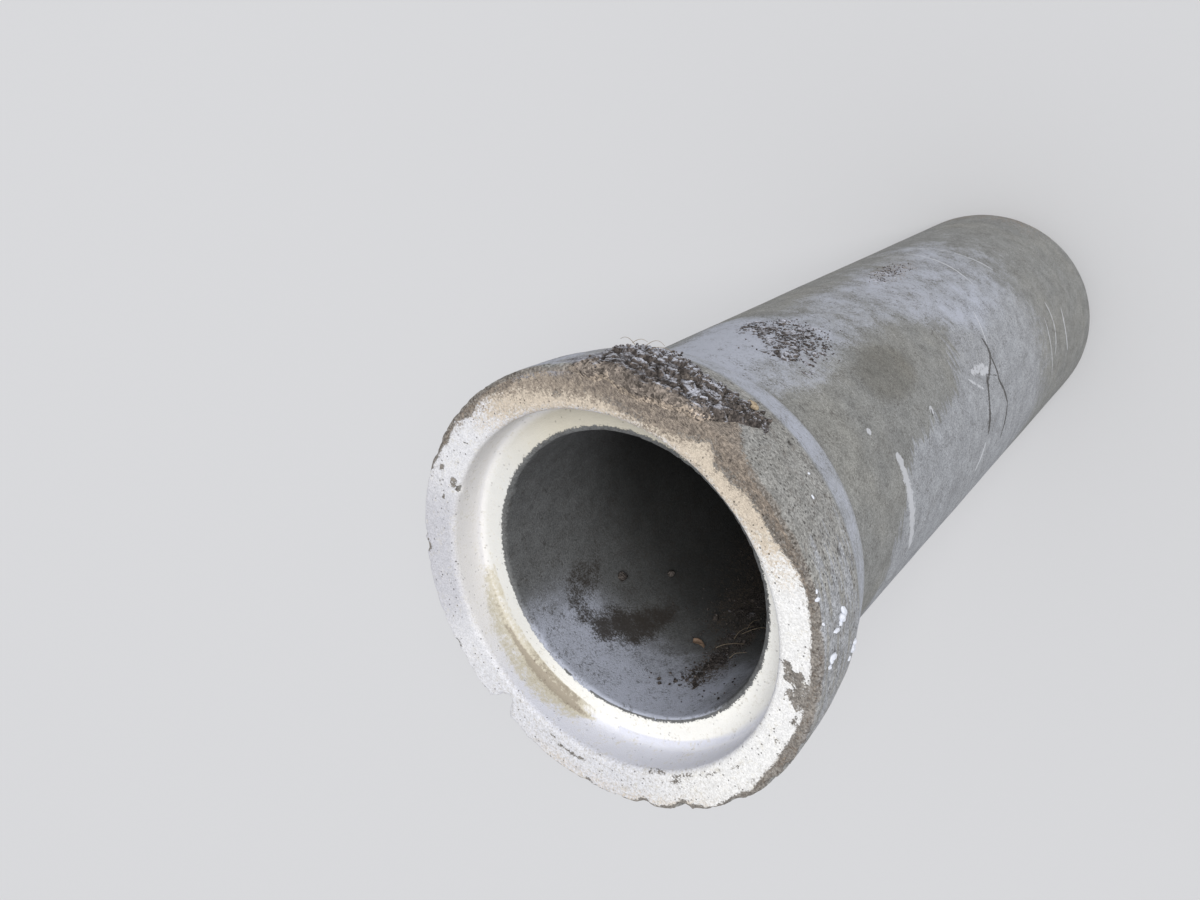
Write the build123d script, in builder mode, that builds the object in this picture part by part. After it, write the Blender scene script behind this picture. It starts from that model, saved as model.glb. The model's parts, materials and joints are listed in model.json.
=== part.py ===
"""Concrete bell-and-spigot culvert pipe, one casting, 24 inch (610 mm) bore.

The pipe stands on its spigot end with the bell up, because it would roll on its side on a level floor.
+Z runs up the pipe's axis from the spigot to the bell, and the origin is the centre of the spigot's nose.
All sizes are in millimetres, and stations are measured down the axis from the bell's face.
"""

from build123d import *
from math import radians, tan
import os

# Barrel
bore_radius = 305.0
wall = 76.0
laying_length = 2438.0
barrel_edge_round = 5.0

# Spigot, with the step that a rubber joint ring sits in
spigot_shoulder = 15.0
homing_gap = 6.0
ring_step_length = 40.0
ring_step_height = 8.0
step_edge_round = 2.0
spigot_root_fillet = 4.0
nose_round = 6.0

# Socket, which takes the spigot of the next pipe
spigot_clearance = 5.0
socket_depth = 89.0
mouth_round = 12.0
seat_fillet = 18.0
bore_edge_round = 5.0

# Bell, outside: the nearly straight flank behind the rim, the bend, the smooth band and the neck
rim_round = 7.0
flank_length = 110.0
flank_draft = 2.0
flank_blend = 400.0
bend_length = 80.0
flank_rise = 15.0
band_length = 108.0
band_rise = 32.0
neck_rise = 27.0
neck_slope = 36.0
shoulder_round = 55.0
neck_fillet = 75.0

# Radii, outwards from the bore
barrel_radius = bore_radius + wall
spigot_radius = barrel_radius - spigot_shoulder
nose_radius = spigot_radius - ring_step_height
socket_radius = spigot_radius + spigot_clearance
shoulder_radius = barrel_radius + neck_rise
crease_radius = shoulder_radius + band_rise
rim_radius = crease_radius + flank_rise
flank_radius = rim_radius - flank_length * tan(radians(flank_draft))

# Stations, down from the bell's face
crease_station = flank_length + bend_length
shoulder_station = crease_station + band_length
neck_station = shoulder_station + neck_rise / tan(radians(neck_slope))
nose_station = laying_length + socket_depth - homing_gap
ring_step_station = nose_station - ring_step_length

# Each corner of the half section, as its station, its radius and the round or fillet that it has.
section = [
    (0, rim_radius, rim_round),
    (flank_length, flank_radius, flank_blend),
    (crease_station, crease_radius, 0),
    (shoulder_station, shoulder_radius, shoulder_round),
    (neck_station, barrel_radius, neck_fillet),
    (laying_length, barrel_radius, barrel_edge_round),
    (laying_length, spigot_radius, spigot_root_fillet),
    (ring_step_station, spigot_radius, step_edge_round),
    (ring_step_station, nose_radius, step_edge_round),
    (nose_station, nose_radius, nose_round),
    (nose_station, bore_radius, bore_edge_round),
    (socket_depth, bore_radius, bore_edge_round),
    (socket_depth, socket_radius, seat_fillet),
    (0, socket_radius, mouth_round),
]

# Sketch plane of the half section: its x runs down from the bell's face, and its y is the radius.
section_plane = Plane(origin=(0, 0, nose_station), x_dir=(0, 0, -1), z_dir=(0, -1, 0))

with BuildPart() as pipe:
    with BuildSketch(section_plane):
        with BuildLine():
            FilletPolyline(
                *[(station, radius) for station, radius, corner in section],
                radius=[corner for station, radius, corner in section],
                close=True,
            )
        make_face()
    revolve(axis=Axis.Z, revolution_arc=360)
pipe.part.label = "pipe"

os.makedirs("parts", exist_ok=True)
export_step(pipe.part, "parts/pipe.step")
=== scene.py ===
"""Concrete bell-and-spigot culvert pipe with its lime coat, weathering, frozen soil, frost and litter, and
light and shade painted on the coat, the bell, the soil and the bore.

The pipe stands on its spigot, with the bell up. Stations run down the axis from the bell's face, radii are
measured from the axis, and angles are in degrees round it, from the -Y side, where the soil crust is, towards
the -X side. Lengths are in metres.
"""

import json
from math import ceil, pi, radians, tan
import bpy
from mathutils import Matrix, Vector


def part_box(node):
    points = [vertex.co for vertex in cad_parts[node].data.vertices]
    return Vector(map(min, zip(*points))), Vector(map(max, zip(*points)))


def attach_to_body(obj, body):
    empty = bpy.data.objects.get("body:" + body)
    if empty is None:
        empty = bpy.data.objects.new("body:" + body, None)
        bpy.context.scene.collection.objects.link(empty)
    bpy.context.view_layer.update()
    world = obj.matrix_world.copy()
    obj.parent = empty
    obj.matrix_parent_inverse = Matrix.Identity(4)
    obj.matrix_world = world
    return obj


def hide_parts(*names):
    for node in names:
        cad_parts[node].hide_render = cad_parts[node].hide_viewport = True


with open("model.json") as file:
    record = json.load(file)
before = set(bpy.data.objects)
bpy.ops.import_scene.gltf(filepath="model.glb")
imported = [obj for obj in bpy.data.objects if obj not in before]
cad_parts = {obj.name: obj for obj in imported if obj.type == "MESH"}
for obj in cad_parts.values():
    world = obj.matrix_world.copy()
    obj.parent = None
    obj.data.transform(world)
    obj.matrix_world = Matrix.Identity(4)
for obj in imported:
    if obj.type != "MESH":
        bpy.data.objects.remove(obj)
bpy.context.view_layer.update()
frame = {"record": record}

from types import SimpleNamespace

import bmesh
import bpy
import numpy as np
from bpy.props import FloatProperty, FloatVectorProperty, IntProperty, PointerProperty
from mathutils import Matrix, Vector

bl_info = {
    "name": "Concrete culvert pipe",
    "version": (1, 0, 0),
    "blender": (4, 5, 0),
    "location": "3D View > Sidebar > Pipe",
    "description": "Dresses a concrete culvert pipe with a lime coat, weathering, soil, frost and litter",
    "category": "Object",
}

MOUNTS = {mount["name"]: mount for mount in frame["record"]["mounts"]}


def mount_radius(name):
    """Radius of a round mount of the casting, in metres."""
    return MOUNTS[name]["dims"]["r_mm"] / 1000


# Section of the casting, in the solid's sizes
PIPE_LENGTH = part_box("pipe")[1].z
BORE_RADIUS = mount_radius("waterway")
SOCKET_RADIUS = mount_radius("socket")
SPIGOT_RADIUS = mount_radius("spigot")
NOSE_RADIUS = mount_radius("ring_step")
WALL = 0.076
NECK_RISE = 0.027
BAND_RISE = 0.032
FLANK_RISE = 0.015
BARREL_RADIUS = BORE_RADIUS + WALL
SHOULDER_RADIUS = BARREL_RADIUS + NECK_RISE
CREASE_RADIUS = SHOULDER_RADIUS + BAND_RISE
RIM_RADIUS = CREASE_RADIUS + FLANK_RISE
FLANK_LENGTH = 0.110
FLANK_DRAFT = radians(2)
FLANK_RADIUS = RIM_RADIUS - FLANK_LENGTH * tan(FLANK_DRAFT)
CREASE_STATION = 0.190
SHOULDER_STATION = 0.298
NECK_SLOPE = radians(36)
NECK_STATION = SHOULDER_STATION + NECK_RISE / tan(NECK_SLOPE)
SOCKET_DEPTH = 0.089
RIM_ROUND = 0.007
RIM_ROUND_HALF = 0.0045
PITTED_RADIUS = 0.45
LAYING_LENGTH = 2.438
RING_STEP_LENGTH = 0.040
RING_STEP_STATION = PIPE_LENGTH - RING_STEP_LENGTH

# How deep the soil patches are sunk in the concrete, and the sizes of the litter
CRUST_ROOT = 0.008
SOIL_ROOT = 0.004
STRAW_RADIUS = 0.0008
STEM_RADIUS = 0.0006
LEAF_LENGTH_SHARE = 1.1
LEAF_HALF_WIDTH = 0.011
LEAF_THICKNESS = 0.0005
SNOW_SHRINK = 0.85

# Where the socket's wall meets its seat, as the stain's line does
SEAT_LINE_STATION = 0.0795

FLOOR_RADIUS = 60
SENSOR_WIDTH = 36

# The same view of the pipe as the photograph's, which was taken as it lay with its -Y side up
CAMERA_PLACE = (-0.9361, -1.0158, 3.8675)
CAMERA_RIGHT = (-0.81596, -0.01757, -0.57784)
CAMERA_UP = (0.24276, -0.91755, -0.31491)
CAMERA_BACK = (-0.52466, -0.39723, 0.75295)
CAMERA_LENS = 30.22

# Where the white coat ends at the bore's rounded edge
BORE_EDGE_RADIUS = 0.3145

# Outer edge of the white coat on the bell's face, as an angle and a radius in millimetres
COAT_EDGE = [
    (-180, 452), (-150, 460), (-80, 460), (-74, 457), (-70, 450), (-66, 447), (-62, 445), (-59, 438),
    (-56, 443), (-52, 447), (-49, 438), (-46, 430), (-44, 434), (-41, 445), (-38, 444), (-33, 437),
    (-28, 438), (-24, 443), (-19, 444), (-14, 438), (-8, 425), (0, 410), (5, 398), (12, 394),
    (20, 410), (27, 422), (30, 442), (34, 412), (40, 414), (44, 425), (50, 421), (58, 425),
    (63, 440), (68, 444), (76, 439), (84, 435), (92, 437), (101, 437), (110, 433), (119, 437),
    (124, 440), (129, 447), (133, 442), (138, 449), (143, 453), (149, 442), (153, 438), (157, 448),
    (160, 453), (163, 445), (166, 447), (169, 453), (175, 455), (180, 452),
]

# Places on the face where the coat has come off: radius and angle, then half sizes across and around, in mm.
# The thin strokes at 127° to 158° along the mouth draw a line of painted shade with dark specks where the
# mouth's round meets the face.
BARE_SPOTS = [
    (389, -69.4, 8, 13), (426, -67.3, 4, 7), (421, -71.8, 2.5, 3), (405, -75.9, 3, 5), (402, -14.5, 4, 5),
    (424, 96, 20, 40), (404, 91, 20, 18), (391, 88, 9, 8), (414, 111, 3, 5),
    (391, 151, 5, 11), (447, -94, 9, 14), (391, -164, 3.5, 6), (400, -167, 3.5, 9), (402, -171, 3.5, 9),
    # The last three on this row and the first on the next are the line of painted shade along the mouth
    (401, -175, 3, 8), (447, -124, 6, 9), (373, 158, 1.8, 12), (380, 147, 1.8, 16), (388, 136, 1.6, 12),
    (396, 127, 1.6, 9), (442, 164, 8, 10), (444, -178, 3, 6), (436, 151, 7, 12),
]

# Wet places in the bore: station in metres and angle, half sizes along and around in metres, and how wet
WET_PLACES = [
    (0.250, -149, 0.034, 0.032, 1.0), (0.300, -154, 0.045, 0.050, 1.0), (0.345, -158, 0.045, 0.040, 1.0),
    (0.400, -161, 0.040, 0.028, 0.9), (0.440, -162, 0.030, 0.018, 0.8), (0.300, -126, 0.055, 0.034, 0.60),
    (0.262, -129, 0.030, 0.026, 0.55), (0.240, -134, 0.028, 0.022, 0.60), (0.228, -140, 0.026, 0.022, 0.70),
]

# Chips out of the rim: angle, half width in degrees, and depth in mm
RIM_CHIPS = [
    (-145.8, 4.0, 52), (-152.0, 5.0, 12), (-139.0, 3.0, 8), (-123.7, 2.3, 11), (-94.2, 2.8, 11),
    (163.8, 2.6, 12), (152.0, 3.6, 16), (136.0, 4.0, 10), (-178.0, 2.2, 8), (172.0, 2.0, 7), (-160.0, 2.4, 6),
    (-134.0, 2.0, 6), (-108.0, 2.5, 5), (122.0, 3.0, 8), (-46.0, 3.0, 5), (-32.0, 4.5, 5), (-60.0, 2.0, 4),
    (104.0, 2.0, 5), (89.5, 2.5, 5), (36.0, 3.0, 6), (50.0, 4.0, 5), (61.0, 2.5, 5),
]

# Right-hand edge of the frost on the barrel, as a station in mm and an angle
FROST_EDGE = [
    (300, 8), (420, 6), (489, 9), (503, 18), (539, 24), (650, 27), (757, 25), (915, 28), (1080, 34),
    (1246, 42), (1331, 52), (1484, 51), (1721, 45), (1974, 37), (2142, 22), (2300, 12), (2440, 6),
]


def smooth(value, low, high):
    """0 below low, 1 above high, with a smooth step between them; low may be the higher one."""
    share = np.clip((value - low) / (high - low), 0, 1)
    return share * share * (3 - 2 * share)


def lattice(x, y, z, seed):
    """A fixed number from 0 to 1 for each whole-numbered place."""
    mixed = (x * 374761393 + y * 668265263 + z * 1442695041 + seed * 1274126177) & 0xFFFFFFFF
    mixed = ((mixed ^ (mixed >> 13)) * 1274126177) & 0xFFFFFFFF
    return ((mixed ^ (mixed >> 16)) & 0xFFFF) / 65535


def noise(points, size, seed, octaves=1, fade=0.5):
    """Smooth noise from -1 to 1 with features of a size, and finer octaves that each fade."""
    total = np.zeros(points.shape[:-1])
    weight = 0
    for octave in range(octaves):
        place = points / size * 2**octave + 31.7 * octave
        corner = np.floor(place).astype(np.int64)
        blend = smooth(place - corner, 0, 1)
        value = np.zeros(points.shape[:-1])
        for step in np.ndindex(2, 2, 2):
            share = np.abs(1 - np.array(step) - blend).prod(axis=-1)
            value += share * lattice(*np.moveaxis(corner + step, -1, 0), seed)
        total += fade**octave * (2 * value - 1)
        weight += fade**octave
    return total / weight


def neighbour_centres(place, seed):
    """The uneven centres of the 27 unit cells round each place, with the cells' whole numbers."""
    corner = np.floor(place).astype(np.int64)
    for step in np.ndindex(3, 3, 3):
        cell = corner + step - np.ones(3, dtype=np.int64)
        numbers = np.moveaxis(cell, -1, 0)
        yield cell + np.stack([lattice(*numbers, seed + axis) for axis in range(3)], axis=-1), numbers


def lumps(points, size, seed):
    """Rounded lumps from 0 in the gaps between them to 1 on their tops."""
    place = points / size
    nearest = np.full(points.shape[:-1], 9.0)
    for centre, numbers in neighbour_centres(place, seed):
        nearest = np.minimum(nearest, ((place - centre) ** 2).sum(axis=-1))
    return 1 - np.clip(np.sqrt(nearest), 0, 1)


def cells(points, size, seed):
    """A fixed number from 0 to 1 for the cell that each point is in, and its distance from the border."""
    warp = np.stack([noise(points, size * 0.8, seed + 3 + axis, 2) for axis in range(3)], axis=-1)
    place = points / size + 0.65 * warp
    nearest = np.full(points.shape[:-1], 9.0)
    second = nearest
    tone = np.zeros(points.shape[:-1])
    for centre, numbers in neighbour_centres(place, seed):
        apart = np.linalg.norm(place - centre, axis=-1)
        closer = apart < nearest
        second = np.where(closer, nearest, np.minimum(second, apart))
        nearest = np.where(closer, apart, nearest)
        tone = np.where(closer, lattice(*numbers, seed + 9), tone)
    return tone, second - nearest


def along_table(value, table):
    """The second column of a table, read smoothly along its first."""
    first, second = zip(*table)
    return np.interp(value, first, second)


def place(station, radius, angle):
    """Points at stations, radii and angles in degrees."""
    turn = np.radians(angle)
    x = -radius * np.sin(turn)
    y = -radius * np.cos(turn)
    return np.stack(np.broadcast_arrays(x, y, PIPE_LENGTH - station), axis=-1)


def unit(vectors):
    """The same directions with a length of 1."""
    return vectors / np.linalg.norm(vectors, axis=-1, keepdims=True)


def turned(angle, middle):
    """Difference between angles in degrees, the short way round."""
    return (angle - middle + 180) % 360 - 180


def sector(angle, middle, outer, inner):
    """1 within an inner angle of the middle one, and 0 beyond the outer."""
    return smooth(np.abs(turned(angle, middle)), outer, inner)


def arc(angle, radius):
    """Length of an angle in degrees round the axis."""
    return np.radians(angle) * radius


def spot(across, angle, middle_across, middle_angle, half_across, half_around, radius):
    """1 at the middle of a soft oval, 0.5 at its edge and 0 well outside it, with sizes in metres."""
    around = arc(turned(angle, middle_angle), radius) / half_around
    reach = np.hypot((across - middle_across) / half_across, around)
    return smooth(reach, 1.6, 0.4)


def grid(first, second):
    """Every pair of two ranges of values, as an array of each, with the first running down the rows."""
    return np.meshgrid(first, second, indexing="ij")


# Meshes


def linked(name, data):
    """A new object in the scene."""
    made = bpy.data.objects.new(name, data)
    bpy.context.scene.collection.objects.link(made)
    return made


def add_layer(mesh, name, values):
    """Sets a value on each point of a mesh."""
    attribute = mesh.attributes.new(name, "FLOAT", "POINT")
    attribute.data.foreach_set("value", np.asarray(values, dtype=np.float32))


def plain_mesh(name, points, faces, material, layers=None):
    """A finished piece at the origin, with its faces outwards and its layers as attributes of its points."""
    mesh = bpy.data.meshes.new(name)
    mesh.from_pydata(np.asarray(points).tolist(), [], faces)
    for layer, values in (layers or {}).items():
        add_layer(mesh, layer, values)
    built = bmesh.new()
    built.from_mesh(mesh)
    bmesh.ops.recalc_face_normals(built, faces=built.faces)
    built.to_mesh(mesh)
    built.free()
    mesh.polygons.foreach_set("use_smooth", [True] * len(mesh.polygons))
    mesh.materials.append(material)
    return linked(name, mesh)


def attach(piece):
    """The piece rides on the casting."""
    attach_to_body(piece, "root")


def section_corners(fine, coarse):
    """Corners of the half section: station, radius, round, steps in it, spacing of the rows after, sides."""
    return [
        (0, RIM_RADIUS, RIM_ROUND, 5, 0.0055, fine),
        (FLANK_LENGTH, FLANK_RADIUS, 0.4, 7, 0.006, fine),
        (CREASE_STATION, CREASE_RADIUS, 0, 0, 0.010, fine),
        (SHOULDER_STATION, SHOULDER_RADIUS, 0.055, 3, 0.008, fine),
        (NECK_STATION, BARREL_RADIUS, 0.075, 6, 0.010, fine),
        (0.390, BARREL_RADIUS, 0, 0, 0.044, coarse),
        (LAYING_LENGTH, BARREL_RADIUS, 0.005, 3, 0.005, coarse),
        (LAYING_LENGTH, SPIGOT_RADIUS, 0.004, 2, 0.020, coarse),
        (RING_STEP_STATION, SPIGOT_RADIUS, 0.002, 2, 0.004, coarse),
        (RING_STEP_STATION, NOSE_RADIUS, 0.002, 2, 0.020, coarse),
        (PIPE_LENGTH, NOSE_RADIUS, 0.006, 3, 0.012, coarse),
        (PIPE_LENGTH, BORE_RADIUS, 0.005, 3, 0.100, coarse),
        (0.90, BORE_RADIUS, 0, 0, 0.028, coarse),
        (0.35, BORE_RADIUS, 0, 0, 0.014, coarse),
        (0.120, BORE_RADIUS, 0, 0, 0.006, fine),
        (SOCKET_DEPTH, BORE_RADIUS, 0.005, 3, 0.005, fine),
        (SOCKET_DEPTH, SOCKET_RADIUS, 0.018, 5, 0.008, fine),
        (0, SOCKET_RADIUS, 0.012, 5, 0.0045, fine),
    ]


def round_steps(before, corner, after, rounding, steps):
    """Points on the round of one corner, from the side it is reached from to the side it is left by."""
    if rounding == 0:
        return [corner]
    back = unit(before - corner)
    ahead = unit(after - corner)
    half = np.arccos(back @ ahead) / 2
    centre = corner + unit(back + ahead) * rounding / np.sin(half)
    first = corner + back * rounding / np.tan(half) - centre
    last = corner + ahead * rounding / np.tan(half) - centre
    sweep = pi - 2 * half
    shares = np.linspace(0, 1, steps + 1)
    return [
        centre + (first * np.sin((1 - t) * sweep) + last * np.sin(t * sweep)) / np.sin(sweep) for t in shares
    ]


def section_rows(fine, coarse):
    """Rows of the casting's mesh round its half section: their (station, radius) points and their sides."""
    corners = section_corners(fine, coarse)
    places = [np.array(corner[:2], dtype=float) for corner in corners]
    rounds = [
        round_steps(places[i - 1], places[i], places[(i + 1) % len(corners)], corners[i][2], corners[i][3])
        for i in range(len(corners))
    ]
    rows = []
    sides = []
    for i, corner in enumerate(corners):
        spacing, around = corner[4], corner[5]
        start = rounds[i][-1]
        end = rounds[(i + 1) % len(corners)][0]
        steps = max(1, ceil(np.linalg.norm(end - start) / spacing - 0.01))
        run = [start + (end - start) * step / steps for step in range(1, steps)]
        rows += rounds[i] + run
        sides += [around] * (len(rounds[i]) + len(run))
    return np.array(rows), sides


def ring_faces(first, first_sides, second, second_sides):
    """Faces between two rings of vertices, the second with as many sides, half as many or twice as many."""
    if first_sides == second_sides:
        return [
            (first + k, first + (k + 1) % first_sides, second + (k + 1) % first_sides, second + k)
            for k in range(first_sides)
        ]
    if first_sides < second_sides:
        return [face[::-1] for face in ring_faces(second, second_sides, first, first_sides)]
    faces = []
    for k in range(second_sides):
        a, b, c = first + 2 * k, first + 2 * k + 1, first + (2 * k + 2) % first_sides
        d, e = second + k, second + (k + 1) % second_sides
        faces += [(a, b, d), (b, e, d), (b, c, e)]
    return faces


def section_run(rows):
    """Distance along the section to each row, the tangent there, the section's length and the nose's row."""
    step = np.roll(rows, -1, axis=0) - rows
    length = np.linalg.norm(step, axis=1)
    tangent = unit(unit(step) + np.roll(unit(step), 1, axis=0))
    distance = np.concatenate([[0], np.cumsum(length)[:-1]])
    return distance, tangent, length.sum(), int(np.argmax(rows[:, 0] > PIPE_LENGTH - 0.001))


def casting_surface(fine, coarse):
    """Every vertex of the casting before its relief, and the faces between them."""
    rows, sides = section_rows(fine, coarse)
    distance, tangent, whole, nose_row = section_run(rows)
    outside = np.arange(len(rows)) <= nose_row
    inwards = np.where(outside, -distance, whole - distance) + RIM_ROUND_HALF

    starts = np.concatenate([[0], np.cumsum(sides)[:-1]])
    faces = []
    for i, start in enumerate(starts):
        following = (i + 1) % len(rows)
        faces += ring_faces(int(start), sides[i], int(starts[following]), sides[following])
    spread = np.repeat(np.arange(len(rows)), sides)
    angle = np.concatenate([np.arange(count) * 360 / count - 180 for count in sides])
    surface = SimpleNamespace(
        station=rows[spread, 0],
        radius=rows[spread, 1],
        angle=angle,
        down=-tangent[spread, 1],
        out=tangent[spread, 0],
        inwards=inwards[spread],
        outside=outside[spread],
    )
    surface.points = place(surface.station, surface.radius, surface.angle)
    return surface, faces


def cut_corner(surface, corner, lean, depth, which):
    """Cuts a corner of the section back to a leaning plane below it, and gives how far points moved."""
    lean_down, lean_out = np.array(lean) / np.hypot(*lean)
    beyond = (surface.station - corner[0]) * lean_down + (surface.radius - corner[1]) * lean_out + depth
    moved = np.where(which, np.clip(beyond, 0, None), 0)
    surface.station = surface.station - moved * lean_down
    surface.radius = surface.radius - moved * lean_out
    return moved


def chip_depth(angle, chips, points, seed):
    """Depth in metres of the chips along an edge at each angle, with ragged sides."""
    depth = np.zeros(len(angle))
    wander = angle + 1.1 * noise(points, 0.018, seed, 2)
    for middle, half_width, deepest in chips:
        share = np.clip(1 - np.abs(turned(wander, middle) / half_width) ** 1.7, 0, 1)
        depth = np.maximum(depth, share**0.75 * deepest / 1000)
    return depth


def add_relief(surface, settings):
    """Chips, crumbling, pits and unevenness of the casting; sets how bare of its old skin each point is."""
    points = surface.points
    station, angle = surface.station, surface.angle
    bell = surface.outside & (station < 0.3) | ~surface.outside & (station < SOCKET_DEPTH)
    crumble = np.clip(noise(points, 0.024, 3, 2), 0, 1) * 0.0075
    crumble = crumble + np.clip(noise(points, 0.0085, 4), 0, 1) * 0.0045
    crumble = crumble * settings.crumble + 0.0028
    chips = chip_depth(angle, RIM_CHIPS, points, 5) + 0.0012 * noise(points, 0.009, 6, 2)
    rim = surface.outside & (station < 0.08) | ~surface.outside & (surface.radius > 0.40) & (station < 0.02)
    cut = cut_corner(surface, (0, RIM_RADIUS), (-0.5, 0.86), np.maximum(crumble, chips), rim)
    edge_chips = [(-70.7, 2.6, 9), (-64.5, 1.0, 5), (-58, 1.2, 4), (118, 1.4, 4), (-112, 3.0, 3.5)]
    edge_depth = 0.0022 + np.clip(noise(points, 0.011, 8, 2), 0, 1) * 0.004
    edge_depth = np.maximum(edge_depth, chip_depth(angle, edge_chips, points, 9))
    lip = ~surface.outside & (station < 0.115)
    lip_cut = cut_corner(surface, (SOCKET_DEPTH, BORE_RADIUS), (-0.6, -0.8), edge_depth, lip)

    sandy = smooth(station, 0.20, 0.17) * surface.outside
    pits = np.zeros(len(points))
    random = np.random.default_rng(11)
    places = [(165, 40.1, 9, 5), (168, 54.1, 8, 4), (132, 66, 11, 5), (105, 49, 8, 2), (176, 47.5, 6, 3)]
    places += [
        (random.uniform(10, 185), random.uniform(-180, 180), random.uniform(5, 10), random.uniform(1.0, 3.0))
        for pit in range(80)
    ]
    for pit_station, pit_angle, size, depth in places:
        near = np.abs(station - pit_station / 1000) < 0.03
        offset = arc(turned(angle[near], pit_angle), PITTED_RADIUS)
        reach = np.hypot(offset, station[near] - pit_station / 1000) * 1000 / size
        pits[near] = np.maximum(pits[near], smooth(reach, 1.1, 0.2) * depth / 1000)

    surface.pits = pits / 0.004
    height = 0.0009 * noise(points, 0.26, 21, 2) + 0.0005 * noise(points, 0.045, 22, 2)
    height += sandy * (0.0006 * noise(points, 0.010, 23, 2) - pits) * settings.sand
    face = ~surface.outside & (station < 0.02) & (surface.radius > SOCKET_RADIUS)
    height += face * 0.0006 * noise(points, 0.016, 24, 2)
    cut_rough = smooth(cut, 0.001, 0.004) + smooth(lip_cut, 0.001, 0.003)
    height += cut_rough * 0.0011 * noise(points, 0.009, 25, 2) * bell
    height = height * smooth(station, PIPE_LENGTH - 0.004, PIPE_LENGTH - 0.05)
    surface.station = surface.station + height * surface.down
    surface.radius = surface.radius + height * surface.out
    surface.points = place(surface.station, surface.radius, surface.angle)
    whitewashed = sector(angle, -146, 7, 4)
    worn = smooth(cut, 0.0030, 0.0058) * (1 - 0.8 * whitewashed)
    surface.bare = np.clip(worn + smooth(lip_cut, 0.002, 0.004), 0, 1)


def coat_margin(surface):
    """How far each point lies inside the white coat's edge, in metres; negative where there is no coat."""
    edge = along_table(surface.angle, COAT_EDGE) / 1000
    margin = surface.inwards - (RIM_RADIUS - edge)
    at_bore = np.argmin(np.hypot(surface.station - SOCKET_DEPTH, surface.radius - BORE_EDGE_RADIUS))
    margin = np.minimum(margin, surface.inwards[at_bore] - surface.inwards)
    on_face = surface.station < 0.012
    rough = noise(surface.points, 0.020, 95, 3, 0.7)
    for radius, angle, across, around in BARE_SPOTS:
        offset = arc(turned(surface.angle, angle), radius) / around
        reach = np.hypot((surface.radius * 1000 - radius) / across, offset)
        reach = reach + 1.5 * rough * min(across / 18, 1.0) ** 3
        spot_margin = np.maximum((reach - 1) * min(across, around) / 1000, -0.0026)
        margin = np.where(on_face, np.minimum(margin, spot_margin), margin)
    return margin - 0.02 * surface.bare


def soil_level(surface):
    """How much brown soil has washed over the surface, from 0 to 1."""
    station, radius, angle = surface.station, surface.radius, surface.angle
    front = along_table(
        angle,
        [
            (-75, 470), (-50, 446), (-33, 438), (-14, 412), (-6, 406), (0, 410), (6, 400), (12, 396),
            (18, 396), (24, 414), (30, 442), (35, 424), (42, 430), (50, 438), (62, 450), (80, 464), (95, 480),
        ],
    )
    face = smooth(radius * 1000 - front, -44, 24) * ~surface.outside * (station < 0.03)
    reach = along_table(
        angle,
        [
            (-40, -40), (-12, -30), (-8, 20), (-3, 110), (20, 130), (30, 80), (36, 20), (44, -14), (60, -24),
            (80, -40),
        ],
    )
    flank = smooth(station * 1000 - reach, 26, -22) * surface.outside * smooth(turned(angle, 30), 75, 30)
    second = spot(station, angle, 1.35, 3, 0.15, 0.05, BARREL_RADIUS) * surface.outside
    bore = np.zeros(len(station))
    for middle, middle_angle, along, around in [
        (0.28, 161, 0.07, 0.05), (0.42, 163, 0.12, 0.05), (0.62, 174, 0.20, 0.08), (1.1, 180, 0.5, 0.14),
    ]:
        bore = np.maximum(bore, spot(station, angle, middle, middle_angle, along, around, BORE_RADIUS))
    bore = bore * ~surface.outside * (station > 0.13)
    right_rim = smooth(np.abs(surface.inwards - 0.012), 0.020, 0.004)
    right_rim = right_rim * sector(angle, 95, 50, 30)
    far = smooth(station, 2.20, 2.42) * sector(angle, -4, 55, 20) * surface.outside
    return np.maximum.reduce([face, flank, 0.50 * second, 0.44 * far, 0.62 * bore, 0.34 * right_rim])


def cream_level(surface):
    """How tanned the white coat is, from 0 to 1."""
    face = sector(surface.angle, 10, 66, 30) * (surface.station < 0.03)
    bottom = sector(surface.angle, 172, 42, 20) * smooth(surface.radius, 0.395, 0.44) * 0.26
    return np.maximum(face * smooth(surface.radius, 0.366, 0.40) * 0.75 + face * 0.38, bottom)


def wet_level(surface):
    """How wet and dark the bore is, from 0 to 1."""
    wet = np.zeros(len(surface.station))
    for middle, middle_angle, along, around, strength in WET_PLACES:
        place_wet = spot(surface.station, surface.angle, middle, middle_angle, along, around, BORE_RADIUS)
        wet = np.maximum(wet, strength * place_wet)
    return wet * ~surface.outside * (surface.station > 0.13)


def dry_and_painted_light_level(surface):
    """How dry and pale the low side of the barrel is, from 0 to 1; the low side of the bell is made pale as
    painted light.
    """
    station, angle = surface.station, surface.angle
    edge = along_table(
        station * 1000,
        [
            (300, 128), (480, 110), (560, 88), (654, 70), (703, 64), (778, 64), (949, 62), (1040, 59),
            (1130, 46), (1260, 34), (1500, 28), (2100, 34), (2400, 70),
        ],
    )
    wide = 0.05 + 0.12 * smooth(station, 0.66, 0.42) + 0.11 * smooth(station, 1.02, 1.16)
    beyond = smooth(arc(angle - edge, BARREL_RADIUS) / wide, -1, 1) * (station > 0.30)
    # Painted light: the low side of the bell is made paler, standing in for the light that falls there
    beyond = np.maximum(beyond, 0.55 * smooth(angle, 45, 80) * (station < 0.34))
    fade = 1 - 0.8 * smooth(angle + 30 * noise(surface.points, 0.2, 92, 3), 80, 165)
    return beyond * fade * surface.outside * (angle > 0) * (1 - 0.75 * smooth(station, 1.3, 2.0))


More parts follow.
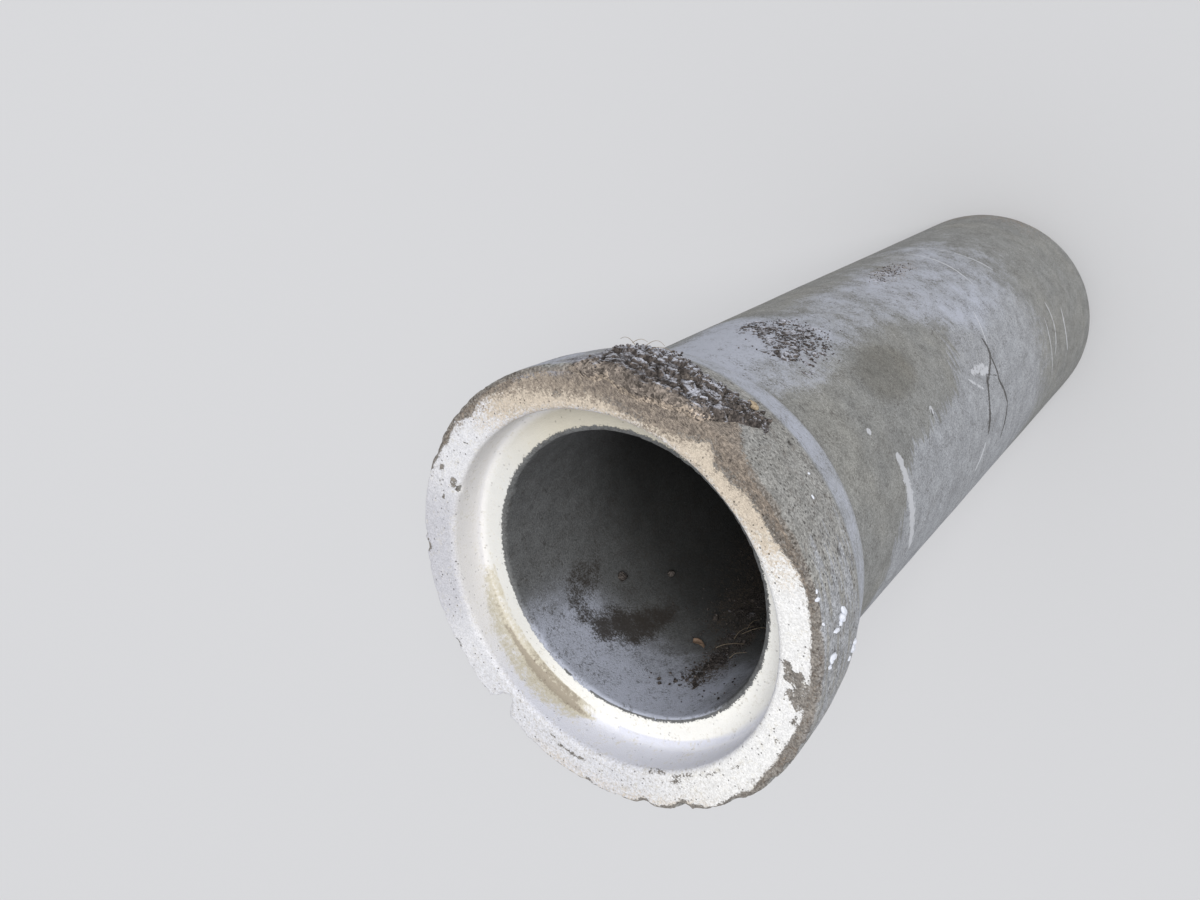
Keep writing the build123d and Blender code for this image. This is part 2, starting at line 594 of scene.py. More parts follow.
def yellow_level(surface):
    """The rusty yellow stain in the lower left of the socket, from 0 to 1, darkest at its low end."""
    station, angle = surface.station, surface.angle
    inside = ~surface.outside & (station < 0.092) & (surface.radius > 0.345)
    start = along_table(
        angle,
        [
            (-178, 0.100), (-170, 0.075), (-163, 0.034), (-150, 0.020), (-125, 0.030), (-112, 0.055),
            (-96, 0.100),
        ],
    )
    at_seat = np.abs(station - SEAT_LINE_STATION)
    depth = smooth(station - start, -0.004, 0.020) * (0.85 + 0.35 * smooth(at_seat, 0.005, 0.001))
    low = smooth(station, 0.045, 0.078) * smooth(angle, -128, -146) * smooth(angle, -167, -161)
    line = 0.45 * smooth(at_seat, 0.007, 0.002) * smooth(angle, -112, -132)
    return (0.54 * depth + 0.52 * low + line) * smooth(angle, -92, -108) * smooth(angle, -174, -166) * inside


def frost_level(surface):
    """How much frost lies on the surface, from 0 to 1."""
    station, angle = surface.station, surface.angle
    edge = along_table(station * 1000, FROST_EDGE)
    wander = 26 * noise(surface.points, 0.17, 91, 4, 0.6)
    swath = smooth(arc(edge - angle + 0.25 * wander, BARREL_RADIUS), -0.06, 0.08)
    swath = swath * smooth(arc(angle + 13 + 0.8 * wander, BARREL_RADIUS), -0.10, 0.12)
    thickness = 0.74 + 0.20 * smooth(station, 0.9, 1.3) + 0.35 * smooth(station, 0.85, 0.7)
    barrel = swath * smooth(station, 0.36, 0.52) * smooth(station, 2.35, 1.5) * thickness
    neck = 1.35 * smooth(station, 0.20, 0.32) * smooth(station, 0.86, 0.64)
    neck = neck * smooth(np.abs(angle - 2 + 0.7 * wander), 40, 4)
    band = smooth(station, 0.180, 0.205) * smooth(station, 0.335, 0.265)
    band = band * (0.42 + 0.38 * smooth(angle, 110, 20)) * smooth(angle + wander, -110, -10)
    band = band * smooth(angle, 165, 95) * 1.15
    top = smooth(station, 0.006, 0.02) * smooth(station, 0.20, 0.18)
    top = top * sector(angle + 0.7 * wander, -18, 22, 2)
    outside = np.maximum.reduce([barrel, neck, band, top]) * surface.outside
    bore = sector(angle, -176, 72, 30) * smooth(station, 0.44, 0.17) * (station > SOCKET_DEPTH)
    rim = smooth(surface.inwards, 0.040, 0.006) * (station < 0.03)
    rim = rim * sector(angle + 0.4 * wander, -20, 18, 6)
    return np.where(surface.outside, outside, np.maximum(1.15 * bore, rim))


def damp_level(surface):
    """How damp and dark the barrel is, from 0 to 1."""
    station, angle = surface.station, surface.angle
    stain = spot(station, angle, 0.765, 38.5, 0.125, 0.070, BARREL_RADIUS)
    drips = 0.28 * spot(station, angle, 1.20, 50, 0.22, 0.09, BARREL_RADIUS)
    return np.maximum(stain, drips) * surface.outside * (station > 0.30)


def grime_level(surface):
    """How dirty the stones at the outer edge of the face and on the flank behind it are, from 0 to 1."""
    station, angle = surface.station, surface.angle
    margin = RIM_RADIUS - along_table(angle, COAT_EDGE) / 1000
    ring = smooth(np.abs(surface.inwards - 0.55 * margin), 0.034, 0.006)
    right = smooth(angle, 20, 34) * (0.45 + 0.55 * smooth(angle, 80, 50)) * smooth(angle, 170, 130)
    left = 0.6 * smooth(angle, -14, -26) * smooth(angle, -80, -60)
    return ring * np.maximum(right, left)


class PIPE_OT_casting(bpy.types.Operator):
    """Build the weathered casting in place of the plain one"""

    bl_idname = "pipe.casting"
    bl_label = "Casting"

    def execute(self, context):
        settings = context.scene.pipe_casting
        surface, faces = casting_surface(settings.fine_sides, settings.fine_sides // 2)
        add_relief(surface, settings)
        layers = {
            "coat": coat_margin(surface),
            # The pit layer darkens the pits in the material as painted shade
            "pit": surface.pits,
            "soil": soil_level(surface),
            "cream": cream_level(surface),
            "yellow": yellow_level(surface),
            "frost": frost_level(surface),
            "damp": damp_level(surface),
            "dry": dry_and_painted_light_level(surface),
            "wet": wet_level(surface),
            "grime": grime_level(surface),
        }
        piece = plain_mesh("pipe_casting", surface.points, faces, concrete_material(context.scene), layers)
        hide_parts("pipe")
        attach(piece)
        return {"FINISHED"}


# Soil


def along_section(run):
    """Station, radius and outward direction at distances along the section from the start of the rim's round.

    The distance is positive down the outside, and negative across the face and into the socket and the bore.
    """
    rows = section_rows(8, 4)[0]
    distance, tangent, whole, nose_row = section_run(rows)
    distance[nose_row:] -= whole
    order = np.argsort(distance)
    columns = (rows[:, 0], rows[:, 1], -tangent[:, 1], tangent[:, 0])
    return [np.interp(run, distance[order], column[order]) for column in columns]


def sheet_faces(shape):
    """Faces of a closed sheet: a grid of points for its top, the same grid for its foot, and its border."""
    count = shape[0] * shape[1]
    index = np.arange(count).reshape(shape)
    quads = np.stack([index[:-1, :-1], index[1:, :-1], index[1:, 1:], index[:-1, 1:]], axis=-1)
    faces = []
    for a, b, c, d in quads.reshape(-1, 4).tolist():
        faces += [(a, b, c, d), (d + count, c + count, b + count, a + count)]
    border = [*index[0, :], *index[1:, -1], *index[-1, -2::-1], *index[-2:0:-1, 0]]
    border = [int(corner) for corner in border]
    return faces + [(a, b, b + count, a + count) for a, b in zip(border, border[1:] + border[:1])]


def section_patch(name, run, angle, height, root, layers):
    """A closed patch of soil whose top stands off the casting by a height and whose foot is sunk in it."""
    station, radius, down, out = along_section(run)
    top = place(station + down * height, radius + out * height, angle).reshape(-1, 3)
    foot = place(station - down * root, radius - out * root, angle).reshape(-1, 3)
    doubled = {layer: np.tile(values.ravel(), 2) for layer, values in layers.items()}
    points = np.concatenate([top, foot])
    attach(plain_mesh(name, points, sheet_faces(run.shape), soil_material(), doubled))


def terraces(height, step, sharpness):
    """Heights pulled towards levels a step apart, as in frozen soil that has broken in flakes."""
    level = height / step
    return step * (np.floor(level) + smooth(level - np.floor(level), 0.5 - sharpness, 0.5 + sharpness))


class PIPE_OT_bell_crust(bpy.types.Operator):
    """Lay the frozen soil crust over the top of the bell"""

    bl_idname = "pipe.bell_crust"
    bl_label = "Soil crust on the bell"

    def execute(self, context):
        settings = context.scene.pipe_soil
        run, angle = grid(np.arange(-0.066, 0.216, 0.0023), np.arange(-20, 44, 0.29))
        flat = place(run, RIM_RADIUS, angle)
        back = along_table(
            angle,
            [
                (-20, 95), (-12, 120), (-7, 172), (2, 176), (10, 164), (18, 142), (26, 146), (33, 168),
                (36, 140), (44, 90),
            ],
        )
        front = along_table(
            angle,
            [
                (-20, 70), (-13, 34), (-8, -8), (0, -4), (5, -26), (10, -38), (17, -28), (23, -4), (27, 14),
                (30, 70), (34, 120),
            ],
        )
        edge = np.minimum(back / 1000 - run, (angle + 12) * 0.0079)
        edge = np.minimum(edge, (34.5 - angle) * 0.0079)
        edge = np.minimum(edge, run - front / 1000)
        edge = edge + 0.010 * noise(flat, 0.045, 41, 3) + 0.012 * noise(flat, 0.11, 40)
        edge = edge + 0.075 * (noise(flat, 0.075, 39, 4, 0.6) - 0.10) * smooth(angle, 2, -7)
        body = smooth(edge, -0.003, 0.028)
        ramp = along_table(
            run,
            [(-0.05, 0.10), (-0.02, 0.24), (0, 0.46), (0.03, 0.72), (0.07, 0.90), (0.105, 1.0), (0.2, 1.0)],
        )
        ridge = along_table(
            angle,
            [
                (-20, 0.05), (-10, 0.15), (-4, 0.60), (1, 1.05), (6, 1.12), (14, 1.0), (22, 0.85), (29, 0.55),
                (36, 0.25), (40, 0.2),
            ],
        )
        rough = np.clip(smooth(run, -0.050, -0.004), 0.25, 1) * smooth(angle, -13, 0)
        mass = 0.5 + 0.5 * noise(flat, 0.055, 42, 3)
        stretched = flat * (0.62, 1, 1.35)
        block, block_border = cells(stretched, 0.034, 43)
        clod, clod_border = cells(stretched, 0.017, 45)
        crumb, crumb_border = cells(flat, 0.0075, 47)
        block = block * smooth(block_border, 0.0, 0.22)
        clod = clod * smooth(clod_border, 0.0, 0.30)
        crumb = crumb * smooth(crumb_border, 0.0, 0.35)
        height = settings.thickness * body * ramp * ridge * (0.30 + 0.95 * mass)
        height = 0.4 * height + 0.6 * terraces(height, 0.0055, 0.16)
        height += body * rough * (0.0115 * block + 0.0065 * clod + 0.0028 * crumb - 0.0030)
        height += body * rough * 0.0035 * noise(flat, 0.018, 54, 2)
        height += body * 0.0009 * noise(flat, 0.0045, 51, 2)
        height = height - (1 - smooth(edge, -0.010, 0.002)) * 0.006
        slope = smooth(run, 0.048, -0.020) * smooth(angle, -14, -4) * smooth(angle, 40, 24)
        broken = noise(flat, 0.013, 53, 3)
        # The relief becomes the depth layer, which darkens the soil's hollows as painted shade and sets where
        # frost lies
        relief = 0.62 * block + 0.55 * clod + 0.35 * crumb + 0.45 * broken - 0.42
        layers = {
            "dry": np.clip(slope + 0.12 + 0.50 * noise(flat, 0.04, 52, 2), 0, 1),
            "depth": relief * rough,
            "thin": smooth(edge, 0.022, 0.004) * slope,
        }
        section_patch("bell_soil_crust", run, angle, height, CRUST_ROOT, layers)
        return {"FINISHED"}


class PIPE_OT_barrel_soil(bpy.types.Operator):
    """Lay the thin frozen soil on the top of the barrel"""

    bl_idname = "pipe.barrel_soil"
    bl_label = "Soil on the barrel"

    def execute(self, context):
        start = along_section(np.array([0.4]))[0][0] - 0.4
        patches = [
            ("barrel_soil_near", 0.62, 9.0, 0.125, 0.125, 0.0050, 61),
            ("barrel_soil_far", 1.34, 2.5, 0.140, 0.045, 0.0022, 71),
        ]
        for name, middle, middle_angle, along, around, thickness, seed in patches:
            reach = np.degrees(around / BARREL_RADIUS) * 1.5
            stations = np.arange(middle - 1.5 * along, middle + 1.5 * along, 0.0034)
            station, angle = grid(stations, np.arange(middle_angle - reach, middle_angle + reach, 0.5))
            flat = place(station, BARREL_RADIUS, angle)
            offset = arc(angle - middle_angle, BARREL_RADIUS)
            lean = station - middle + 0.35 * offset
            edge = 1 - np.hypot(lean / along, offset / around) + 0.42 * noise(flat, 0.055, seed, 3)
            body = smooth(edge, -0.05, 0.35)
            flake, flake_border = cells(flat * (0.7, 1, 1.2), 0.0135, seed + 1)
            fine, fine_border = cells(flat, 0.0085, seed + 5)
            kept = smooth(flake + 0.35 * edge, 0.64, 0.74) * smooth(flake_border, 0.02, 0.25)
            kept = np.maximum(kept, smooth(fine + 0.3 * edge, 0.78, 0.86) * smooth(fine_border, 0.02, 0.25))
            height = body * kept * thickness * (0.25 + 0.9 * flake + 0.35 * fine) - 0.0018
            height = np.where(body > 0, height, -0.0018)
            # The depth layer darkens the soil's hollows as painted shade and sets where frost lies
            layers = {"dry": 0 * body, "depth": 0.9 * flake + 0.7 * fine - 1.02, "thin": 0 * body}
            section_patch(name, station - start, angle, height, SOIL_ROOT, layers)
        return {"FINISHED"}


class PIPE_OT_bore_soil(bpy.types.Operator):
    """Lay the dirt that has washed along the low side of the bore"""

    bl_idname = "pipe.bore_soil"
    bl_label = "Dirt in the bore"

    def execute(self, context):
        station, angle = grid(np.arange(0.14, 1.3, 0.007), np.arange(128, 212, 1.15))
        start = along_section(np.array([-0.4]))[0][0] - 0.4
        flat = place(station, BORE_RADIUS, angle)
        middle = along_table(
            station, [(0.14, 160), (0.25, 160), (0.40, 163), (0.55, 170), (0.80, 180), (1.3, 183)]
        )
        half = along_table(
            station, [(0.14, 1), (0.22, 4), (0.30, 7), (0.42, 7), (0.60, 9), (0.90, 12), (1.3, 12)]
        )
        edge = 1 - np.abs(angle - middle) / half + 0.55 * noise(flat, 0.06, 81, 3)
        body = smooth(edge, -0.15, 0.6) * smooth(station, 0.15, 0.24) * smooth(station, 1.3, 1.0)
        clod = lumps(flat, 0.024, 82)
        broken = smooth(noise(flat, 0.03, 86, 2), -0.25, 0.3)
        height = body * ((0.0005 + 0.008 * clod) * broken + 0.0015 * noise(flat, 0.012, 87)) - 0.0018
        # The depth layer darkens the soil's hollows as painted shade and sets where frost lies
        layers = {"dry": 0.30 + 0 * body, "depth": 0.6 * clod - 0.6, "thin": 0 * body}
        section_patch("bore_soil", start - station, angle, height, SOIL_ROOT, layers)
        return {"FINISHED"}


# Clods, litter and snow


def clod_tree():
    """Geometry nodes that put a clod of one of four shapes on each vertex, turned and sized at random."""
    tree = bpy.data.node_groups.new("Scattered clods", "GeometryNodeTree")
    tree.interface.new_socket(name="Places", in_out="INPUT", socket_type="NodeSocketGeometry")
    for name, default in (("Size", 0.008), ("Smallest share", 0.3), ("Flatness", 0.7), ("Unevenness", 0.9)):
        socket = tree.interface.new_socket(name=name, in_out="INPUT", socket_type="NodeSocketFloat")
        socket.default_value = default
    tree.interface.new_socket(name="Seed", in_out="INPUT", socket_type="NodeSocketInt")
    tree.interface.new_socket(name="Clods", in_out="OUTPUT", socket_type="NodeSocketGeometry")
    steps = Steps(tree)
    given = steps.node("NodeGroupInput").outputs
    result = steps.node("NodeGroupOutput").inputs
    shapes = steps.node("GeometryNodeJoinGeometry")
    for shape in range(4):
        cube = steps.node("GeometryNodeMeshCube", Size=(1, 1, 1)).outputs["Mesh"]
        rounded = steps.node("GeometryNodeSubdivisionSurface", Mesh=cube, Level=1).outputs["Mesh"]
        where = steps.node("GeometryNodeInputPosition").outputs[0]
        settings = {"noise_dimensions": "4D"}
        wave = steps.node("ShaderNodeTexNoise", settings, Vector=where, W=7.3 * shape, Scale=1.7, Detail=2.0)
        push = steps.vector("SUBTRACT", wave.outputs["Color"], (0.5, 0.5, 0.5))
        offset = steps.scaled(push, given["Unevenness"])
        moved = steps.node("GeometryNodeSetPosition", Geometry=rounded, Offset=offset).outputs[0]
        kept = steps.node("GeometryNodeGeometryToInstance", Geometry=moved).outputs[0]
        steps.join(kept, shapes.inputs[0])
    size = steps.node("FunctionNodeRandomValue", {"data_type": "FLOAT"}, Seed=given["Seed"])
    steps.join(given["Smallest share"], size.inputs[2])
    size.inputs[3].default_value = 1.0
    turn = steps.node("FunctionNodeRandomValue", {"data_type": "FLOAT_VECTOR"}, Seed=given["Seed"])
    turn.inputs[1].default_value = (2 * pi, 2 * pi, 2 * pi)
    pick = steps.node("FunctionNodeRandomValue", {"data_type": "INT"}, Seed=given["Seed"])
    pick.inputs[5].default_value = 3
    scale = size.outputs[1] * given["Size"]
    spread = steps.node("ShaderNodeCombineXYZ", X=scale, Y=scale, Z=scale * given["Flatness"])
    placed = steps.node(
        "GeometryNodeInstanceOnPoints",
        Points=given["Places"],
        Instance=shapes.outputs[0],
        Pick_Instance=True,
        Instance_Index=pick.outputs[2],
        Rotation=turn.outputs[0],
        Scale=spread.outputs[0],
    ).outputs[0]
    real = steps.node("GeometryNodeRealizeInstances", Geometry=placed).outputs[0]
    steps.join(real, result["Clods"])
    return tree


def scatter_clods(name, points, size, seed, dry, depth, smallest=0.3):
    """A piece of soil clods, one on each point, that rides on the casting."""
    places = bpy.data.meshes.new(name + "_places")
    places.from_pydata(np.asarray(points).tolist(), [], [])
    holder = linked(name + "_places", places)
    tree = bpy.data.node_groups.get("Scattered clods") or clod_tree()
    modifier = holder.modifiers.new("clods", "NODES")
    modifier.node_group = tree
    values = {"Size": size, "Smallest share": smallest, "Seed": seed}
    for item in tree.interface.items_tree:
        if item.name in values:
            modifier[item.identifier] = values[item.name]
    mesh = bpy.data.meshes.new_from_object(holder.evaluated_get(bpy.context.evaluated_depsgraph_get()))
    bpy.data.objects.remove(holder)
    mesh.name = name
    mesh.materials.clear()
    mesh.materials.append(soil_material())
    mesh.polygons.foreach_set("use_smooth", [True] * len(mesh.polygons))
    # The depth value darkens or lightens the clods as painted shade and light, and sets their frost
    for layer, value in (("dry", dry), ("depth", depth)):
        add_layer(mesh, layer, np.full(len(mesh.vertices), value))
    attach(linked(name, mesh))


def tube(path, radius, sides=6):
    """Points and faces of a closed thin tube along a path that narrows to its ends."""
    path = np.asarray(path, dtype=float)
    ahead = unit(np.gradient(path, axis=0))
    across = unit(np.cross(ahead, (0.3, 0.2, 0.93)))
    third = np.cross(ahead, across)
    thickness = radius * np.linspace(1.0, 0.55, len(path))
    points = []
    for k in range(sides):
        turn = 2 * pi * k / sides
        points.append(path + thickness[:, None] * (np.cos(turn) * across + np.sin(turn) * third))
    points = np.stack(points, axis=1).reshape(-1, 3)
    faces = []
    for i in range(len(path) - 1):
        faces += ring_faces(i * sides, sides, (i + 1) * sides, sides)
    faces.append(tuple(range(sides)))
    faces.append(tuple(range((len(path) - 1) * sides, len(path) * sides)))
    return points, faces


def joined(parts):
    """One list of points and one of faces from several."""
    points = []
    faces = []
    for part_points, part_faces in parts:
        start = sum(len(each) for each in points)
        points.append(np.asarray(part_points))
        faces += [tuple(start + corner for corner in face) for face in part_faces]
    return np.concatenate(points), faces


def lump(centre, directions, sizes, seed, unevenness):
    """Points and faces of an uneven lump with half sizes along three directions."""
    built = bmesh.new()
    bmesh.ops.create_icosphere(built, subdivisions=3, radius=1)
    shape = np.array([vertex.co[:] for vertex in built.verts])
    faces = [tuple(vertex.index for vertex in face.verts) for face in built.faces]
    built.free()
    shape = shape * (1 + unevenness * noise(shape, 0.9, seed, 3)[:, None])
    return centre + (shape * sizes) @ np.asarray(directions), faces


def surface_frame(run, angle):
    """A point of the casting, and the directions down its section, round it and out of it there."""
    station, radius, down, out = (float(value) for value in along_section(np.array(run)))
    turn = radians(angle)
    radial = np.array([-np.sin(turn), -np.cos(turn), 0])
    around = np.array([-np.cos(turn), np.sin(turn), 0])
    outward = radial * out + np.array([0, 0, -down])
    along = np.cross(outward, around)
    return place(station, radius, angle), np.array([along, around, outward])


def bore_point(station, angle, lift):
    """A point that stands off the bore's wall by a lift."""
    return place(station, BORE_RADIUS - lift, angle)


class PIPE_OT_clods(bpy.types.Operator):
    """Scatter clods and crumbs on the crust, on the barrel and in the bore"""

    bl_idname = "pipe.clods"
    bl_label = "Clods"

    def execute(self, context):
        random = np.random.default_rng(5)
        crust = bpy.data.objects["bell_soil_crust"].data
        count = len(crust.vertices)
        points = np.empty(count * 3)
        crust.vertices.foreach_get("co", points)
        points = points.reshape(-1, 3)
        depth = np.empty(count, dtype=np.float32)
        crust.attributes["depth"].data.foreach_get("value", depth)
        radial = np.hypot(points[:, 0], points[:, 1])
        station = PIPE_LENGTH - points[:, 2]
        angle = np.degrees(np.arctan2(-points[:, 0], -points[:, 1]))
        flank = [(0, RIM_RADIUS), (FLANK_LENGTH, FLANK_RADIUS), (CREASE_STATION, CREASE_RADIUS)]
        proud = radial > along_table(station, flank) + 0.002
        weight = proud * np.clip(depth, 0.02, 1) * smooth(angle, -11, -2)
        weight = weight * (0.45 + smooth(station, 0.04, 0.10) + 0.8 * (angle > 24))
        chosen = random.choice(count, 300, replace=False, p=weight / weight.sum())
        scatter_clods("crust_clods", points[chosen], 0.0080, 3, dry=0.35, depth=0.2)
        edge = [
            (0.168, 4), (0.162, 9), (0.158, 12), (0.148, 16), (0.144, 20), (0.150, 24), (0.160, 28),
            (0.166, 31), (0.158, 33.5), (0.130, 34), (0.150, 27), (0.135, 22),
        ]
        large = [surface_frame(run, turn)[0] * (1.006, 1.006, 1) for run, turn in edge]
        scatter_clods("crust_large_clods", large, 0.017, 8, dry=0.3, depth=0.3, smallest=0.6)

        near = np.stack([random.normal(0.630, 0.052, 480), random.normal(10.5, 5.5, 480)], axis=1)
        near[:, 0] -= (near[:, 1] - 10.5) * 0.0016
        far = np.stack([random.normal(1.34, 0.06, 110), random.normal(2.5, 2.5, 110)], axis=1)
        flakes = [place(s, BARREL_RADIUS + 0.001, a) for s, a in (*near, *far)]
        scatter_clods("barrel_crumbs", flakes, 0.0052, 4, dry=0.0, depth=0.15)

        spread = [
            (0.80, -171, 0.10, 7, 50), (0.63, 171, 0.08, 6, 80), (0.53, 167, 0.05, 6, 90),
            (0.49, -180, 0.05, 7, 40), (0.38, 161.5, 0.04, 4, 120), (0.32, 166, 0.04, 3, 70),
            (0.24, 165, 0.022, 3, 60), (0.45, 160, 0.10, 5, 120), (0.225, -177, 0.01, 2, 4),
            (0.195, 145, 0.02, 6, 12), (1.0, -176, 0.15, 9, 40),
        ]
        crumbs = [
            bore_point(random.normal(s, ds), random.normal(a, da), random.uniform(0.0, 0.002))
            for s, a, ds, da, many in spread
            for crumb in range(many)
        ]
        crumbs = [point for point in crumbs if point[2] < PIPE_LENGTH - 0.10]
        scatter_clods("bore_crumbs", crumbs, 0.0075, 6, dry=0.15, depth=-0.2, smallest=0.2)
        trail = [
            (0.200, 175), (0.207, 171), (0.213, 177), (0.222, 170), (0.236, 166), (0.252, 164), (0.275, 168),
            (0.300, 163), (0.330, 165), (0.355, 160), (0.385, 163), (0.420, 158), (0.430, 166), (0.470, 160),
            (0.520, 172), (0.245, 175),
        ]
        larger = [bore_point(s, a, 0.002) for s, a in trail]
        scatter_clods("bore_trail_clods", larger, 0.014, 12, dry=0.2, depth=-0.1, smallest=0.5)
        lump_places = [(0.492, -180, 0.006), (0.540, -148.5, 0.007), (0.401, -136, 0.006)]
        clods = [bore_point(s, a, lift) for s, a, lift in lump_places]
        scatter_clods("bore_clods", clods, 0.030, 9, dry=0.35, depth=-0.15, smallest=0.7)
        return {"FINISHED"}


class PIPE_OT_litter(bpy.types.Operator):
    """Lay the pebble and the stems on the crust, and the dead leaf and the straws in the bore"""

    bl_idname = "pipe.litter"
    bl_label = "Pebble, leaf and straws"

    def execute(self, context):
        centre, directions = surface_frame(0.136, 29)
        middle = centre + directions[2] * 0.013
        points, faces = lump(middle, directions, (0.008, 0.0115, 0.006), 3, unevenness=0.15)
        attach(plain_mesh("crust_pebble", points, faces, pebble_material()))

        runs = [
            [(0.430, 164, 2), (0.445, 163.5, 9), (0.462, 162, 12), (0.482, 161, 6), (0.500, 160, 1)],
            [(0.455, 163, 1), (0.466, 159, 7), (0.473, 155, 9), (0.478, 151, 3)],
            [(0.482, 163, 1), (0.495, 162.8, 6), (0.509, 162, 9), (0.530, 161, 2)],
            [(0.380, 168, 1), (0.392, 165, 6), (0.402, 161, 5), (0.408, 157, 1)],
            [(0.340, 157, 1), (0.352, 155, 7), (0.358, 150, 3)],
        ]
        tubes = []
        for run in runs:
            corners = np.array([bore_point(s, a, 0.002 + lift / 1000) for s, a, lift in run])
            share = np.linspace(0, 1, len(corners))
            fine = np.linspace(0, 1, 14)
            path = np.stack([np.interp(fine, share, corners[:, axis]) for axis in range(3)], axis=1)
            path[1:-1] = (path[:-2] + 2 * path[1:-1] + path[2:]) / 4
            tubes.append(tube(path, STRAW_RADIUS))
        stems = [(0.116, -1, 0.010, -5), (0.122, 1, 0.014, 4), (0.110, 3, 0.009, 5), (0.130, -3, 0.008, 3)]
        for run, turn, rise, sweep in stems:
            path = []
            for share in np.linspace(0, 1, 9):
                centre, directions = surface_frame(run + 0.012 * share, turn + sweep * share)
                path.append(centre + directions[2] * (0.020 + rise * np.sin(2.6 * share)))
            tubes.append(tube(path, STEM_RADIUS))
        points, faces = joined(tubes)
        attach(plain_mesh("dead_straws", points, faces, straw_material()))

        long_way, wide_way = grid(np.linspace(0, 1, 15), np.linspace(-1, 1, 9))
        outline = np.sin(pi * np.clip(long_way, 0.02, 0.98)) ** 0.7 * (1 + 0.12 * np.sin(9 * pi * long_way))
        half = LEAF_HALF_WIDTH * outline * wide_way
        lift = 0.004 + 0.006 * wide_way**2 + 0.004 * np.sin(4 * long_way + wide_way)
        start = bore_point(0.376, 179, 0)
        end = bore_point(0.372, 173.5, 0)
        inward = -np.array([start[0], start[1], 0]) / BORE_RADIUS
        middle = start + (end - start) * long_way.reshape(-1, 1) * LEAF_LENGTH_SHARE
        spine = unit(np.cross(inward, end - start))
        top = middle + spine * half.reshape(-1, 1) + inward * lift.reshape(-1, 1)
        points = np.concatenate([top, top - inward * LEAF_THICKNESS])
        faces = sheet_faces(long_way.shape)
        attach(plain_mesh("bore_leaf", points, faces, leaf_material()))
        return {"FINISHED"}


class PIPE_OT_snow(bpy.types.Operator):
    """Put the bits of snow on the side of the bell"""

    bl_idname = "pipe.snow"
    bl_label = "Snow"

    def execute(self, context):
        bits = [
            (0.099, 78.0, 13, 8, 6, 1.0), (0.088, 79.2, 12, 8, 6, 0.8), (0.080, 80.0, 8, 6, 4, 0.2),
            (0.064, 80.6, 12, 6, 5, 0.2), (0.050, 86.0, 14, 8, 6, 0.4), (0.041, 86.2, 10, 7, 4, 0.0),
            (0.034, 87.6, 9, 4, 3, 0.2), (0.172, 93, 13, 9, 5, 0.3), (0.178, 91.6, 7, 7, 4, 0.1),
            (0.160, 94.8, 9, 5, 3, 0.0), (0.010, 70.2, 6, 4, 2.5, 0.0), (0.013, 68.6, 4, 4, 2, 0.2),
            (0.014, 76.0, 5, 3, 2, 0.9), (0.155, 48.0, 4, 2.5, 1.2, 0.4), (0.120, 52.5, 6, 3, 1.2, 1.2),
        ]
        parts = []
        for number, (run, angle, long_half, wide_half, high_half, slant) in enumerate(bits):
            centre, directions = surface_frame(run, angle)
            turned_way = directions.copy()
            turned_way[0] = directions[0] * np.cos(slant) + directions[1] * np.sin(slant)
            turned_way[1] = directions[1] * np.cos(slant) - directions[0] * np.sin(slant)
            sizes = np.array((long_half, wide_half, high_half)) * SNOW_SHRINK / 1000
            parts.append(lump(centre, turned_way, sizes, 20 + number, unevenness=0.75))
        points, faces = joined(parts)
        attach(plain_mesh("bell_snow", points, faces, snow_material()))
        return {"FINISHED"}


# Stage


class PIPE_OT_stage(bpy.types.Operator):
    """Lay the pale floor and set the camera and the soft light"""

    bl_idname = "pipe.stage"
    bl_label = "Floor, camera and light"

    def execute(self, context):
        scene = context.scene
        settings = scene.pipe_stage
        bpy.ops.mesh.primitive_circle_add(vertices=96, radius=FLOOR_RADIUS, fill_type="NGON")
        floor = context.object
        floor.name = "floor"
        floor.data.materials.append(floor_material(settings))

        camera = linked("camera", bpy.data.cameras.new("camera"))
        camera.data.sensor_fit = "HORIZONTAL"
        camera.data.sensor_width = SENSOR_WIDTH
        camera.data.lens = CAMERA_LENS
        camera.data.clip_end = 200
        turn = Matrix((CAMERA_RIGHT, CAMERA_UP, CAMERA_BACK)).transposed()
        camera.matrix_world = Matrix.Translation(CAMERA_PLACE) @ turn.to_4x4()
        scene.camera = camera

        key = bpy.data.lights.new("soft_key", "SUN")
        key.energy = settings.key_strength
        key.angle = settings.key_size
        lamp = linked("soft_key", key)
        lamp.rotation_mode = "QUATERNION"
        lamp.rotation_quaternion = Vector(settings.key_from).to_track_quat("Z", "Y")

        world = bpy.data.worlds.new("soft_sky")
        scene.world = world
        world.use_nodes = True
        steps = Steps(world.node_tree)
        sky = world.node_tree.nodes["Background"]
        path = steps.node("ShaderNodeLightPath")
        seen = steps.math("MAXIMUM", path.outputs["Is Camera Ray"], path.outputs["Is Glossy Ray"])
        steps.join(steps.mix(seen, settings.sky_colour, settings.floor_colour), sky.inputs["Color"])
        steps.join(steps.mixed_value(seen, settings.sky_strength, 1.0), sky.inputs["Strength"])
        scene.view_settings.view_transform = "Standard"
        return {"FINISHED"}


# Materials


class Value:
    """An output of a node, whose sums, products and absolute value are maths nodes."""

    def __init__(self, steps, socket):
        self.steps = steps
        self.socket = socket

    def __add__(self, other):
        return self.steps.math("ADD", self, other)

    def __radd__(self, other):
        return self.steps.math("ADD", other, self)

    def __sub__(self, other):
        return self.steps.math("SUBTRACT", self, other)

    def __rsub__(self, other):
        return self.steps.math("SUBTRACT", other, self)

    def __mul__(self, other):
        return self.steps.math("MULTIPLY", self, other)

    def __rtruediv__(self, other):
        return self.steps.math("DIVIDE", other, self)

    def __truediv__(self, other):
        return self.steps.math("DIVIDE", self, other)

    def __abs__(self):
        return self.steps.math("ABSOLUTE", self)


class Outputs:
    """The outputs of a node as values, by name or by number."""

    def __init__(self, steps, sockets):
        self.steps = steps
        self.sockets = sockets

    def __getitem__(self, key):
        return Value(self.steps, self.sockets[key])


